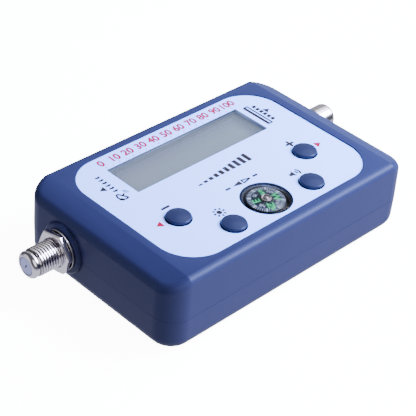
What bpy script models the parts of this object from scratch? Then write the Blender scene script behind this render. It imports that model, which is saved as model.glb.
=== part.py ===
"""Satellite signal meter: a hand-held level meter with two F-type ports, a compass and four buttons.

The underside rests on z = 0 with the case centred on the z axis. +X runs along the line of the two
ports and +Y points to the display side of the top. All lengths are in metres.
"""

import math

import bmesh
import bpy
from mathutils import Matrix, Vector

# Gaps shared by every piece
SEAT_GAP = 0.0003
OVERRUN = 0.001

# Case: two shells that meet at the parting line
CASE_LENGTH = 0.1084
CASE_WIDTH = 0.0691
CASE_HEIGHT = 0.0269
CASE_CORNER = 0.008
CASE_WALL = 0.002
PARTING_HEIGHT = 0.012
PARTING_GAP = 0.0003
TOP_EDGE_RADIUS = 0.0024
BOTTOM_EDGE_RADIUS = 0.0045
SHOULDER_DROP_SHARE = 0.355
DRAFT_SHARE = 0.014
ROOT_SHARE = 0.33

# Front label, laid in a shallow recess of the top, with its margins to the case's edges
LABEL_END_MARGIN = 0.01085
LABEL_FRONT_MARGIN = 0.00475
LABEL_BACK_MARGIN = 0.00435
LABEL_CORNER = 0.0131
LABEL_THICKNESS = 0.0004
LABEL_DEPTH = 0.0004
LABEL_SIDE_GAP = 0.0001

# Display, from the clear window down to the light guide; the window takes the room on the label
# that the title band behind it and the field of buttons in front of it leave
WINDOW_END_MARGIN = 0.014
TITLE_BAND = 0.0068
BUTTON_FIELD = 0.0378
WINDOW_LEDGE = 0.001
WINDOW_SHEET = 0.0008
WINDOW_RIB_HEIGHT = 0.001
WINDOW_RIB_WALL = 0.0025
GLASS_END_LAP = 0.00365
GLASS_SIDE_LAP = 0.0033
GLASS_THICKNESS = 0.002
GUIDE_END_INSET = 0.002
GUIDE_THICKNESS = 0.003
HOLDER_WALL = 0.0017
STRIP_END_INSET = 0.003
STRIP_WIDTH = 0.0014
STRIP_CLEARANCE = 0.0011

# Buttons and the switches under them, placed from the label's edges and the compass
LEVEL_BUTTON_INSET = 0.01465
LEVEL_BUTTON_STEP = 0.0132
FUNCTION_BUTTON_INSET = 0.0069
FUNCTION_BUTTON_GAP = 0.005
BUTTON_RADIUS = 0.0041
BUTTON_CLEARANCE = 0.0003
BUTTON_RISE = 0.0012
BUTTON_CROWN = 0.0003
BUTTON_ROUNDING = 0.001
BUTTON_FLANGE_RADIUS = 0.0052
BUTTON_FLANGE_THICKNESS = 0.0008
BUTTON_STEM_RADIUS = 0.0016
BUTTON_TRAVEL = 0.0005
SWITCH_SIDE = 0.006
SWITCH_HEIGHT = 0.0033
SWITCH_WELL_DEPTH = 0.0018
PLUNGER_RADIUS = 0.0017
PLUNGER_STAND = 0.001

# Compass: a capsule seated in a sleeve of the top cover
COMPASS_MARGIN = 0.0016
COMPASS_HOLE_RADIUS = 0.0086
COMPASS_SLEEVE_WALL = 0.0012
COMPASS_SLEEVE_LENGTH = 0.0049
COMPASS_SINK = 0.0003
COMPASS_WALL = 0.0006
COMPASS_LEDGE = 0.0007
COMPASS_LEDGE_DEPTH = 0.0016
COMPASS_FLOOR = 0.001
DOME_WALL = 0.0007
DOME_SIDE_HEIGHT = 0.001
DOME_CROWN = 0.0018
CARD_RADIUS = 0.0062
CARD_THICKNESS = 0.0003
CARD_RISE = 0.0006
CARD_HOLE_RADIUS = 0.0007
BEARING_RADIUS = 0.0017
BEARING_HEIGHT = 0.001
BEARING_BORE_DEPTH = 0.0006
BEARING_CHAMFER = 0.0005
MAGNET_RADIUS = 0.003
MAGNET_THICKNESS = 0.001
PIVOT_RADIUS = 0.00035
PIVOT_TIP_HEIGHT = 0.0006
PIVOT_BASE_RADIUS = 0.0015
PIVOT_BASE_HEIGHT = 0.0008

# Main board, hung under the top cover
MAIN_BOARD_END_GAP = 0.0007
MAIN_BOARD_SIDE_GAP = 0.00255
MAIN_BOARD_THICKNESS = 0.0016
BOARD_BOSS_RADIUS = 0.0024
BOARD_BOSS_INSET = 0.0035
BOARD_SCREW_RADIUS = 0.0009
BOARD_SCREW_HEAD_RADIUS = 0.0018
BOARD_SCREW_HEAD = 0.0012
BOARD_SCREW_REACH = 0.0035

# Radio board, on posts of the bottom cover
RADIO_BOARD_END_GAP = 0.0008
RADIO_BOARD_BACK_GAP = 0.0061
RADIO_BOARD_FRONT_GAP = 0.00515
RADIO_BOARD_THICKNESS = 0.0016
RADIO_POST_RADIUS = 0.0023
RADIO_POST_END_INSET = 0.004
RADIO_POST_SIDE_INSET = 0.0035
RADIO_SCREW_REACH = 0.004
SHIELD_END_MARGIN = 0.0075
SHIELD_FRONT_MARGIN = 0.005
SHIELD_BACK_MARGIN = 0.001
SHIELD_HEADROOM = 0.001
SHIELD_SHEET = 0.0004
HEADER_LENGTH = 0.0102
HEADER_WIDTH = 0.0025
HEADER_INSET = 0.00215

# Components under the main board, in rows that start at its front edge
CHIP_SIDE = 0.010
CHIP_HEIGHT = 0.0016
CHIP_FRONT_GAP = 0.005
REGULATOR_LENGTH = 0.0065
REGULATOR_WIDTH = 0.0061
REGULATOR_HEIGHT = 0.0023
REGULATOR_X = -0.018
REGULATOR_GAP = 0.0033
CRYSTAL_LENGTH = 0.0111
CRYSTAL_WIDTH = 0.0046
CRYSTAL_HEIGHT = 0.0034
CRYSTAL_GAP = 0.0042
CAPACITOR_RADIUS = 0.00315
CAPACITOR_HEIGHT = 0.007
CAPACITOR_END_GAP = 0.00835
CAPACITOR_FRONT_GAP = 0.00835
CAPACITOR_PITCH = 0.0085
BUZZER_RADIUS = 0.006
BUZZER_HEIGHT = 0.0065
BUZZER_HOLE_RADIUS = 0.001
BUZZER_HOLE_DEPTH = 0.002
BUZZER_END_GAP = 0.0125
BUZZER_FRONT_GAP = 0.0075

# Ports: F-type bulkhead sockets, one through each end wall, on an axis just below mid-height
PORT_BACK_INSET = 0.02005
PORT_DROP = 0.00055
PORT_REACH = 0.0148
THREAD_RADIUS = 0.00476
THREAD_DEPTH = 0.00043
THREAD_PITCH = 0.00079375
THREAD_TURNS = 14
COLLAR_RADIUS = 0.0046
COLLAR_LENGTH = 0.0017
NOSE_ROUNDING = 0.0012
PORT_BORE_RADIUS = 0.0031
PORT_FLANGE_RADIUS = 0.0064
PORT_FLANGE_THICKNESS = 0.0017
PORT_TAIL_RADIUS = 0.0042
PORT_TAIL_LENGTH = 0.0017
PORT_BOSS_RADIUS = 0.0092
PORT_BOSS_HEIGHT = 0.0012
PORT_BOSS_ROUNDING = 0.0011
WASHER_RADIUS = 0.0068
WASHER_THICKNESS = 0.0005
NUT_ACROSS_FLATS = 0.013
NUT_THICKNESS = 0.002
NUT_TURN = math.radians(9)
INSULATOR_SINK = 0.0001
CONTACT_SOCKET_RADIUS = 0.0008
CONTACT_PIN_RADIUS = 0.0005
CONTACT_SINK = 0.0014
CONTACT_PIN_CLEARANCE = 0.0005

# Case screws, driven up through the bottom cover
CASE_POST_END_INSET = 0.008
CASE_POST_SIDE_INSET = 0.00805
TOP_POST_RADIUS = 0.003
BOTTOM_POST_RADIUS = 0.0039
CASE_SCREW_RADIUS = 0.00135
CASE_SCREW_HEAD_RADIUS = 0.0022
CASE_SCREW_HEAD = 0.0019
CASE_SCREW_RECESS = 0.007
CASE_SCREW_TIP_GAP = 0.0054

# Counts and shading
CORNER_STEPS = 6
EDGE_STEPS = 3
LABEL_CORNER_STEPS = 8
CROWN_STEPS = 3
ROUNDING_STEPS = 2
FINE_SIDES = 28
ROUND_SIDES = 20
POST_SIDES = 16
SMALL_SIDES = 12
ROUND_PROFILE_SHARE = 0.5
SHARP_ANGLE = math.radians(35)
BEVEL_ANGLE = math.radians(40)
WELD_DISTANCE = 0.000001

# The two ends of the case, by the sign of x
ENDS = ((-1, "left"), (1, "right"))

# Places and lengths along x and y that follow from the sizes above
CASE_HALF_LENGTH = CASE_LENGTH / 2
CASE_HALF_WIDTH = CASE_WIDTH / 2
LABEL_LENGTH = CASE_LENGTH - 2 * LABEL_END_MARGIN
LABEL_WIDTH = CASE_WIDTH - LABEL_FRONT_MARGIN - LABEL_BACK_MARGIN
LABEL_FRONT_Y = LABEL_FRONT_MARGIN - CASE_HALF_WIDTH
LABEL_Y = LABEL_FRONT_Y + LABEL_WIDTH / 2
WINDOW_LENGTH = LABEL_LENGTH - 2 * WINDOW_END_MARGIN
WINDOW_WIDTH = LABEL_WIDTH - TITLE_BAND - BUTTON_FIELD
WINDOW_Y = LABEL_FRONT_Y + BUTTON_FIELD + WINDOW_WIDTH / 2
GLASS_LENGTH = WINDOW_LENGTH + 2 * GLASS_END_LAP
GLASS_WIDTH = WINDOW_WIDTH + 2 * GLASS_SIDE_LAP
GUIDE_LENGTH = GLASS_LENGTH - 2 * GUIDE_END_INSET
GUIDE_WIDTH = GLASS_WIDTH - 2 * (STRIP_WIDTH + STRIP_CLEARANCE)
STRIP_LENGTH = GLASS_LENGTH - 2 * STRIP_END_INSET
COMPASS_Y = LABEL_FRONT_Y + COMPASS_MARGIN + COMPASS_HOLE_RADIUS
FUNCTION_BUTTON_X = COMPASS_HOLE_RADIUS + FUNCTION_BUTTON_GAP + BUTTON_RADIUS
FUNCTION_BUTTON_Y = LABEL_FRONT_Y + FUNCTION_BUTTON_INSET
LEVEL_BUTTON_X = LABEL_LENGTH / 2 - LEVEL_BUTTON_INSET
LEVEL_BUTTON_Y = FUNCTION_BUTTON_Y + LEVEL_BUTTON_STEP
CASE_POST_X = CASE_HALF_LENGTH - CASE_POST_END_INSET
CASE_POST_Y = CASE_HALF_WIDTH - CASE_POST_SIDE_INSET
MAIN_BOARD_LENGTH = 2 * (CASE_POST_X - TOP_POST_RADIUS - MAIN_BOARD_END_GAP)
MAIN_BOARD_WIDTH = CASE_WIDTH - 2 * (CASE_WALL + MAIN_BOARD_SIDE_GAP)
MAIN_BOARD_FRONT_Y = -MAIN_BOARD_WIDTH / 2
BOARD_BOSS_X = MAIN_BOARD_LENGTH / 2 - BOARD_BOSS_INSET
BOARD_BOSS_Y = MAIN_BOARD_WIDTH / 2 - BOARD_BOSS_INSET
CHIP_Y = MAIN_BOARD_FRONT_Y + CHIP_FRONT_GAP + CHIP_SIDE / 2
CRYSTAL_FRONT_Y = CHIP_Y + CHIP_SIDE / 2 + CRYSTAL_GAP
CRYSTAL_Y = CRYSTAL_FRONT_Y + CRYSTAL_WIDTH / 2
CAPACITOR_X = -(MAIN_BOARD_LENGTH / 2 - CAPACITOR_END_GAP - CAPACITOR_RADIUS)
CAPACITOR_Y = MAIN_BOARD_FRONT_Y + CAPACITOR_FRONT_GAP + CAPACITOR_RADIUS
REGULATOR_Y = CAPACITOR_Y + CAPACITOR_RADIUS + REGULATOR_GAP + REGULATOR_WIDTH / 2
BUZZER_X = MAIN_BOARD_LENGTH / 2 - BUZZER_END_GAP - BUZZER_RADIUS
BUZZER_Y = MAIN_BOARD_FRONT_Y + BUZZER_FRONT_GAP + BUZZER_RADIUS
RADIO_BOARD_FRONT_Y = CRYSTAL_FRONT_Y + CRYSTAL_WIDTH + RADIO_BOARD_FRONT_GAP
RADIO_BOARD_BACK_Y = CASE_HALF_WIDTH - CASE_WALL - RADIO_BOARD_BACK_GAP
RADIO_BOARD_LENGTH = 2 * (CASE_POST_X - BOTTOM_POST_RADIUS - RADIO_BOARD_END_GAP)
RADIO_BOARD_WIDTH = RADIO_BOARD_BACK_Y - RADIO_BOARD_FRONT_Y
RADIO_BOARD_Y = RADIO_BOARD_FRONT_Y + RADIO_BOARD_WIDTH / 2
RADIO_POST_X = RADIO_BOARD_LENGTH / 2 - RADIO_POST_END_INSET
SHIELD_LENGTH = RADIO_BOARD_LENGTH - 2 * SHIELD_END_MARGIN
SHIELD_WIDTH = RADIO_BOARD_WIDTH - SHIELD_FRONT_MARGIN - SHIELD_BACK_MARGIN
SHIELD_Y = RADIO_BOARD_FRONT_Y + SHIELD_FRONT_MARGIN + SHIELD_WIDTH / 2
HEADER_Y = RADIO_BOARD_FRONT_Y + HEADER_INSET
PORT_Y = CASE_HALF_WIDTH - PORT_BACK_INSET
PORT_TIP_X = CASE_HALF_LENGTH + PORT_REACH
PORT_BOSS_FACE = CASE_HALF_LENGTH + PORT_BOSS_HEIGHT
WASHER_FACE = PORT_BOSS_FACE + SEAT_GAP + WASHER_THICKNESS
NUT_FACE = WASHER_FACE + SEAT_GAP + NUT_THICKNESS
FLANGE_FACE = CASE_HALF_LENGTH - CASE_WALL - SEAT_GAP
PORT_TAIL_END = FLANGE_FACE - PORT_FLANGE_THICKNESS - PORT_TAIL_LENGTH
CONTACT_PIN_END = RADIO_POST_X + BOARD_SCREW_HEAD_RADIUS + CONTACT_PIN_CLEARANCE

# Heights that follow from the sizes above
LABEL_TOP = CASE_HEIGHT - LABEL_DEPTH
LABEL_UNDERSIDE = LABEL_TOP - LABEL_THICKNESS
RECESS_FLOOR = LABEL_UNDERSIDE - SEAT_GAP
ROOF_UNDERSIDE = CASE_HEIGHT - CASE_WALL
ROOF_ROOT = ROOF_UNDERSIDE + ROOT_SHARE * CASE_WALL
RIB_UNDERSIDE = ROOF_UNDERSIDE - WINDOW_RIB_HEIGHT
GLASS_TOP = RIB_UNDERSIDE - SEAT_GAP
GLASS_UNDERSIDE = GLASS_TOP - GLASS_THICKNESS
GUIDE_TOP = GLASS_UNDERSIDE - SEAT_GAP
ON_MAIN_BOARD = GUIDE_TOP - GUIDE_THICKNESS
MAIN_BOARD_TOP = ON_MAIN_BOARD - SEAT_GAP
MAIN_BOARD_HEIGHT = MAIN_BOARD_TOP - MAIN_BOARD_THICKNESS
UNDER_MAIN_BOARD = MAIN_BOARD_HEIGHT - SEAT_GAP
PORT_HEIGHT = CASE_HEIGHT / 2 - PORT_DROP
RADIO_BOARD_TOP = PORT_HEIGHT - CONTACT_PIN_RADIUS - SEAT_GAP
RADIO_BOARD_HEIGHT = RADIO_BOARD_TOP - RADIO_BOARD_THICKNESS
ON_RADIO_BOARD = RADIO_BOARD_TOP + SEAT_GAP
SHIELD_HEIGHT = MAIN_BOARD_HEIGHT - SHIELD_HEADROOM - ON_RADIO_BOARD
CASE_SCREW_BASE = CASE_SCREW_RECESS - SEAT_GAP
CASE_SCREW_LENGTH = ROOF_UNDERSIDE - CASE_SCREW_TIP_GAP - SEAT_GAP - CASE_SCREW_BASE
TOP_RIM = PARTING_HEIGHT + PARTING_GAP / 2
BOTTOM_RIM = PARTING_HEIGHT - PARTING_GAP / 2
SWITCH_TOP = ON_MAIN_BOARD + SWITCH_HEIGHT
PLUNGER_TOP = SWITCH_TOP + PLUNGER_STAND
BUTTON_HOLE_RADIUS = BUTTON_RADIUS + BUTTON_CLEARANCE
COMPASS_RADIUS = COMPASS_HOLE_RADIUS - SEAT_GAP
COMPASS_RIM = LABEL_TOP - COMPASS_SINK
COMPASS_LEDGE_HEIGHT = COMPASS_RIM - COMPASS_LEDGE_DEPTH
DOME_SEAT = COMPASS_LEDGE_HEIGHT + SEAT_GAP
CARD_TOP = COMPASS_LEDGE_HEIGHT + CARD_RISE
CARD_UNDERSIDE = CARD_TOP - CARD_THICKNESS
BEARING_UNDERSIDE = CARD_TOP + SEAT_GAP

FINISH_SHARES = {
    "blue_plastic": ((0.035, 0.065, 0.24), 0.42, 0.0),
    "label_film": ((0.68, 0.76, 0.93), 0.3, 0.0),
    "clear_plastic": ((0.8, 0.84, 0.86), 0.06, 0.0),
    "display_glass": ((0.35, 0.41, 0.4), 0.12, 0.0),
    "white_plastic": ((0.75, 0.76, 0.76), 0.4, 0.0),
    "pink_rubber": ((0.5, 0.3, 0.3), 0.7, 0.0),
    "black_plastic": ((0.012, 0.012, 0.014), 0.35, 0.0),
    "card_black": ((0.01, 0.01, 0.012), 0.55, 0.0),
    "switch_steel": ((0.55, 0.56, 0.58), 0.35, 1.0),
    "board_green": ((0.02, 0.14, 0.06), 0.45, 0.0),
    "tinned_steel": ((0.6, 0.61, 0.62), 0.3, 1.0),
    "nickel": ((0.66, 0.65, 0.63), 0.2, 1.0),
    "brass": ((0.6, 0.42, 0.16), 0.28, 1.0),
    "screw_steel": ((0.35, 0.35, 0.37), 0.35, 1.0),
    "magnet_grey": ((0.12, 0.12, 0.13), 0.4, 1.0),
}


def clear_scene():
    """Remove every object of the starting scene."""
    for item in list(bpy.data.objects):
        bpy.data.objects.remove(item, do_unlink=True)


def linked_collection(name):
    """Make a collection in the scene."""
    group = bpy.data.collections.new(name)
    bpy.context.scene.collection.children.link(group)
    return group


def material(name):
    """Return the named finish, made on first use."""
    found = bpy.data.materials.get(name)
    if found:
        return found
    colour, roughness, metallic = FINISH_SHARES[name]
    made = bpy.data.materials.new(name)
    made.use_nodes = True
    shader = made.node_tree.nodes["Principled BSDF"]
    shader.inputs["Base Color"].default_value = (*colour, 1.0)
    shader.inputs["Roughness"].default_value = roughness
    shader.inputs["Metallic"].default_value = metallic
    return made


class Workshop:
    """The collections that hold the parts and the cutters."""

    def __init__(self):
        self.parts = linked_collection("satellite_signal_meter")
        self.cutters = linked_collection("cutters")

    def part(self, name, mesh, finish, place=(0.0, 0.0, 0.0), turn=(0.0, 0.0, 0.0), parent=None):
        """Add one sub-part with its own material."""
        item = bpy.data.objects.new(name, mesh)
        self.parts.objects.link(item)
        mesh.name = name
        mesh.materials.clear()
        mesh.materials.append(material(finish))
        item.location = place
        item.rotation_euler = turn
        item.parent = parent
        return item

    def axis_empty(self, name, place):
        """Add an empty that marks the axis of a moving group."""
        mark = bpy.data.objects.new(name, None)
        self.parts.objects.link(mark)
        mark.location = place
        return mark

    def tool(self, name, mesh, place=(0.0, 0.0, 0.0), turn=(0.0, 0.0, 0.0)):
        """Add a hidden shape that a Boolean uses."""
        item = bpy.data.objects.new(name, mesh)
        self.cutters.objects.link(item)
        item.location = place
        item.rotation_euler = turn
        item.hide_render = True
        item.display_type = "WIRE"
        return item


def boolean(target, tool, operation):
    """Join a tool to a part, or cut it away."""
    step = target.modifiers.new(f"{operation.lower()} {tool.name}", "BOOLEAN")
    step.operation = operation
    step.solver = "EXACT"
    step.object = tool


def cut(target, tool):
    """Cut a tool's shape away from a part."""
    boolean(target, tool, "DIFFERENCE")


def join(target, tool):
    """Join a tool's shape to a part."""
    boolean(target, tool, "UNION")


def mesh_from(form, name):
    """Turn a bmesh into a mesh."""
    mesh = bpy.data.meshes.new(name)
    form.to_mesh(mesh)
    form.free()
    return mesh


def smooth(mesh):
    """Shade a round mesh smooth, with its real edges sharp."""
    mesh.shade_smooth()
    mesh.set_sharp_from_angle(angle=SHARP_ANGLE)
    return mesh


def block(length, width, height):
    """A box centred on its origin."""
    form = bmesh.new()
    bmesh.ops.create_cube(form, size=1)
    bmesh.ops.transform(form, matrix=Matrix.Diagonal((length, width, height, 1)), verts=form.verts)
    return mesh_from(form, "block")


def rod(radius, length, sides=ROUND_SIDES):
    """A cylinder along z, centred on its origin."""
    form = bmesh.new()
    bmesh.ops.create_cone(form, cap_ends=True, segments=sides, radius1=radius, radius2=radius, depth=length)
    return smooth(mesh_from(form, "rod"))


def evaluated_mesh(item):
    """The mesh that an object's modifiers or curve give; the object is removed."""
    bpy.context.scene.collection.objects.link(item)
    graph = bpy.context.evaluated_depsgraph_get()
    mesh = bpy.data.meshes.new_from_object(item.evaluated_get(graph))
    bpy.data.objects.remove(item, do_unlink=True)
    return mesh


def turned(profile, sides=ROUND_SIDES, closed=False):
    """Turn a profile of (radius, height) points, outer side downwards, round the z axis."""
    form = bmesh.new()
    corners = [form.verts.new((radius, 0.0, height)) for radius, height in profile]
    for first, second in zip(corners, corners[1:]):
        form.edges.new((first, second))
    if closed:
        form.edges.new((corners[-1], corners[0]))
    item = bpy.data.objects.new("turning", mesh_from(form, "turning"))
    screw = item.modifiers.new("turn", "SCREW")
    screw.axis = "Z"
    screw.steps = sides
    screw.render_steps = sides
    screw.use_merge_vertices = True
    screw.merge_threshold = WELD_DISTANCE
    return smooth(evaluated_mesh(item))


def plate(outlines, thickness):
    """A flat plate centred on z = 0 from closed outlines; inner outlines are its holes."""
    curve = bpy.data.curves.new("plate", "CURVE")
    curve.dimensions = "2D"
    curve.fill_mode = "BOTH"
    curve.extrude = thickness / 2
    for outline in outlines:
        spline = curve.splines.new("POLY")
        spline.points.add(len(outline) - 1)
        for point, (x, y) in zip(spline.points, outline):
            point.co = (x, y, 0.0, 1.0)
        spline.use_cyclic_u = True
    mesh = evaluated_mesh(bpy.data.objects.new("plate", curve))
    form = bmesh.new()
    form.from_mesh(mesh)
    bmesh.ops.remove_doubles(form, verts=form.verts, dist=WELD_DISTANCE)
    bmesh.ops.recalc_face_normals(form, faces=form.faces)
    form.to_mesh(mesh)
    form.free()
    return mesh


def arc(radius, start, end, steps):
    """Points of an arc round the origin; angles in radians."""
    angles = [start + (end - start) * step / steps for step in range(steps + 1)]
    return [(radius * math.cos(angle), radius * math.sin(angle)) for angle in angles]


def circle(radius, x=0.0, y=0.0, sides=ROUND_SIDES):
    """A closed round outline."""
    return [(x + dx, y + dy) for dx, dy in arc(radius, 0.0, math.tau, sides)[:-1]]


def rectangle(length, width, x=0.0, y=0.0):
    """A closed rectangular outline."""
    return [(x + sx * length / 2, y + sy * width / 2) for sx, sy in ((1, 1), (-1, 1), (-1, -1), (1, -1))]


def rounded_rectangle(length, width, corner, x=0.0, y=0.0, steps=LABEL_CORNER_STEPS):
    """A closed rectangular outline with round corners."""
    outline = []
    for quarter, (sx, sy) in enumerate(((1, 1), (-1, 1), (-1, -1), (1, -1))):
        start = quarter * math.pi / 2
        for dx, dy in arc(corner, start, start + math.pi / 2, steps):
            outline.append((x + sx * (length / 2 - corner) + dx, y + sy * (width / 2 - corner) + dy))
    return outline


def crown(radius, edge_height, rise, steps=CROWN_STEPS):
    """Profile points of a shallow dome, from its middle down to its edge."""
    points = []
    for step in range(steps + 1):
        reach = radius * step / steps
        points.append((reach, edge_height + rise * (1 - (reach / radius) ** 2)))
    return points


def between(low, high):
    """The middle height of a piece that spans two heights."""
    return (low + high) / 2


def corner_places(x, y):
    """The four places at plus and minus x and y."""
    return [(sx * x, sy * y) for sx in (-1, 1) for sy in (-1, 1)]


def button_places():
    """Name and place of each button."""
    return {
        "level_down": (-LEVEL_BUTTON_X, LEVEL_BUTTON_Y),
        "level_up": (LEVEL_BUTTON_X, LEVEL_BUTTON_Y),
        "light": (-FUNCTION_BUTTON_X, FUNCTION_BUTTON_Y),
        "buzzer": (FUNCTION_BUTTON_X, FUNCTION_BUTTON_Y),
    }


def case_surface(closed_height, open_height, shoulders):
    """Half of the case as an open surface with draft, ready for Bevel and Solidify."""
    form = bmesh.new()
    bmesh.ops.create_cube(form, size=1)
    height = abs(closed_height - open_height)
    size = Matrix.Diagonal((CASE_LENGTH, CASE_WIDTH, height, 1))
    middle = Matrix.Translation((0.0, 0.0, between(closed_height, open_height)))
    bmesh.ops.transform(form, matrix=middle @ size, verts=form.verts)
    upright = [edge for edge in form.edges if abs(edge.verts[0].co.z - edge.verts[1].co.z) > height / 2]
    bmesh.ops.bevel(
        form,
        geom=upright,
        offset=CASE_CORNER,
        segments=CORNER_STEPS,
        profile=ROUND_PROFILE_SHARE,
        affect="EDGES",
    )
    if shoulders:
        for side in (-1, 1):
            cut_shoulder(form, side)
    away = math.copysign(DRAFT_SHARE, closed_height - PARTING_HEIGHT)
    for vert in form.verts:
        inset = away * (vert.co.z - PARTING_HEIGHT)
        vert.co.x *= 1 - inset / CASE_HALF_LENGTH
        vert.co.y *= 1 - inset / CASE_HALF_WIDTH
    open_faces = []
    for face in form.faces:
        if all(abs(vert.co.z - open_height) < WELD_DISTANCE for vert in face.verts):
            open_faces.append(face)
    bmesh.ops.delete(form, geom=open_faces, context="FACES_ONLY")
    bmesh.ops.recalc_face_normals(form, faces=form.faces)
    return mesh_from(form, "case surface")


def cut_shoulder(form, side):
    """Slope one end of the top down towards the end wall."""
    geometry = form.verts[:] + form.edges[:] + form.faces[:]
    normal = Vector((side * SHOULDER_DROP_SHARE, 0.0, 1.0)).normalized()
    start = Vector((side * (CASE_HALF_LENGTH - CASE_CORNER), 0.0, CASE_HEIGHT))
    bmesh.ops.bisect_plane(
        form, geom=geometry, dist=WELD_DISTANCE, plane_co=start, plane_no=normal, clear_outer=True
    )
    rim = [edge for edge in form.edges if edge.is_boundary]
    bmesh.ops.edgeloop_fill(form, edges=rim)


def shell(item, edge_radius):
    """Round the closed edge of an open surface and give it a wall."""
    rounding = item.modifiers.new("rounded edge", "BEVEL")
    rounding.width = edge_radius
    rounding.segments = EDGE_STEPS
    rounding.limit_method = "ANGLE"
    rounding.angle_limit = BEVEL_ANGLE
    wall = item.modifiers.new("wall", "SOLIDIFY")
    wall.thickness = CASE_WALL
    wall.offset = -1
    wall.use_even_offset = True
    wall.use_quality_normals = True


def port_turn(side):
    """Rotation that lays a turned piece's z axis along the outward direction of a port."""
    return (0.0, side * math.pi / 2, 0.0)


def port_place(side, distance=0.0):
    """A place on the ports' common axis."""
    return (side * distance, PORT_Y, PORT_HEIGHT)


def boss_profile():
    """The raised round boss on an end wall, as (radius, distance from the middle plane)."""
    top = PORT_BOSS_RADIUS - PORT_BOSS_ROUNDING
    points = [(0.0, PORT_BOSS_FACE)]
    for dx, dz in reversed(arc(PORT_BOSS_ROUNDING, 0.0, math.pi / 2, ROUNDING_STEPS)):
        points.append((top + dx, PORT_BOSS_FACE - PORT_BOSS_ROUNDING + dz))
    inner = CASE_HALF_LENGTH - CASE_WALL / 2
    return points + [(PORT_BOSS_RADIUS, inner), (0.0, inner)]


def add_port_bosses(shop, cover, label):
    """Join a round boss to each end wall of a cover."""
    for side, end in ENDS:
        mesh = turned(boss_profile(), FINE_SIDES)
        boss = shop.tool(f"{label} {end} boss", mesh, port_place(side), port_turn(side))
        join(cover, boss)


def bore_ports(shop, cover, label):
    """Bore both end walls for the threads."""
    length = CASE_WALL + PORT_BOSS_HEIGHT + 2 * OVERRUN
    middle = CASE_HALF_LENGTH - CASE_WALL - OVERRUN + length / 2
    for side, end in ENDS:
        mesh = rod(THREAD_RADIUS + SEAT_GAP, length)
        bore = shop.tool(f"{label} {end} bore", mesh, port_place(side, middle), port_turn(side))
        cut(cover, bore)


def trim_at_parting(shop, cover, label, rim, above):
    """Cut a cover flat at its rim; above tells which side goes."""
    depth = CASE_HEIGHT
    middle = rim + depth / 2 if above else rim - depth / 2
    mesh = block(CASE_LENGTH + CASE_WIDTH, CASE_LENGTH, depth)
    cut(cover, shop.tool(f"{label} trim", mesh, (0.0, 0.0, middle)))


def top_cover(shop):
    """The upper shell, with its recess, openings, posts and bosses."""
    surface = case_surface(CASE_HEIGHT, PARTING_HEIGHT - OVERRUN, True)
    cover = shop.part("top_cover", surface, "blue_plastic")
    shell(cover, TOP_EDGE_RADIUS)
    add_port_bosses(shop, cover, "top")
    post_bottom = PARTING_HEIGHT - OVERRUN
    post_top = ROOF_UNDERSIDE + SEAT_GAP
    for number, (x, y) in enumerate(corner_places(CASE_POST_X, CASE_POST_Y), 1):
        mesh = rod(TOP_POST_RADIUS, post_top - post_bottom, POST_SIDES)
        join(cover, shop.tool(f"top post {number}", mesh, (x, y, between(post_bottom, post_top))))
    boss_bottom = ON_MAIN_BOARD
    boss_top = ROOF_ROOT
    for number, (x, y) in enumerate(corner_places(BOARD_BOSS_X, BOARD_BOSS_Y), 1):
        mesh = rod(BOARD_BOSS_RADIUS, boss_top - boss_bottom, POST_SIDES)
        join(cover, shop.tool(f"board boss {number}", mesh, (x, y, between(boss_bottom, boss_top))))
    rib_length = WINDOW_LENGTH + 2 * (SEAT_GAP + WINDOW_RIB_WALL)
    rib_width = WINDOW_WIDTH + 2 * (SEAT_GAP + WINDOW_RIB_WALL)
    rib_top = ROOF_ROOT
    rib = block(rib_length, rib_width, rib_top - RIB_UNDERSIDE)
    join(cover, shop.tool("window rib", rib, (0.0, WINDOW_Y, between(RIB_UNDERSIDE, rib_top))))
    sleeve_bottom = ROOF_UNDERSIDE - COMPASS_SLEEVE_LENGTH
    sleeve_top = ROOF_ROOT
    sleeve = rod(COMPASS_HOLE_RADIUS + COMPASS_SLEEVE_WALL, sleeve_top - sleeve_bottom, FINE_SIDES)
    join(cover, shop.tool("compass sleeve", sleeve, (0.0, COMPASS_Y, between(sleeve_bottom, sleeve_top))))
    trim_at_parting(shop, cover, "top", TOP_RIM, False)
    cut_top_openings(shop, cover)
    bore_ports(shop, cover, "top")
    cut_top_pilots(shop, cover)
    return cover


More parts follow.
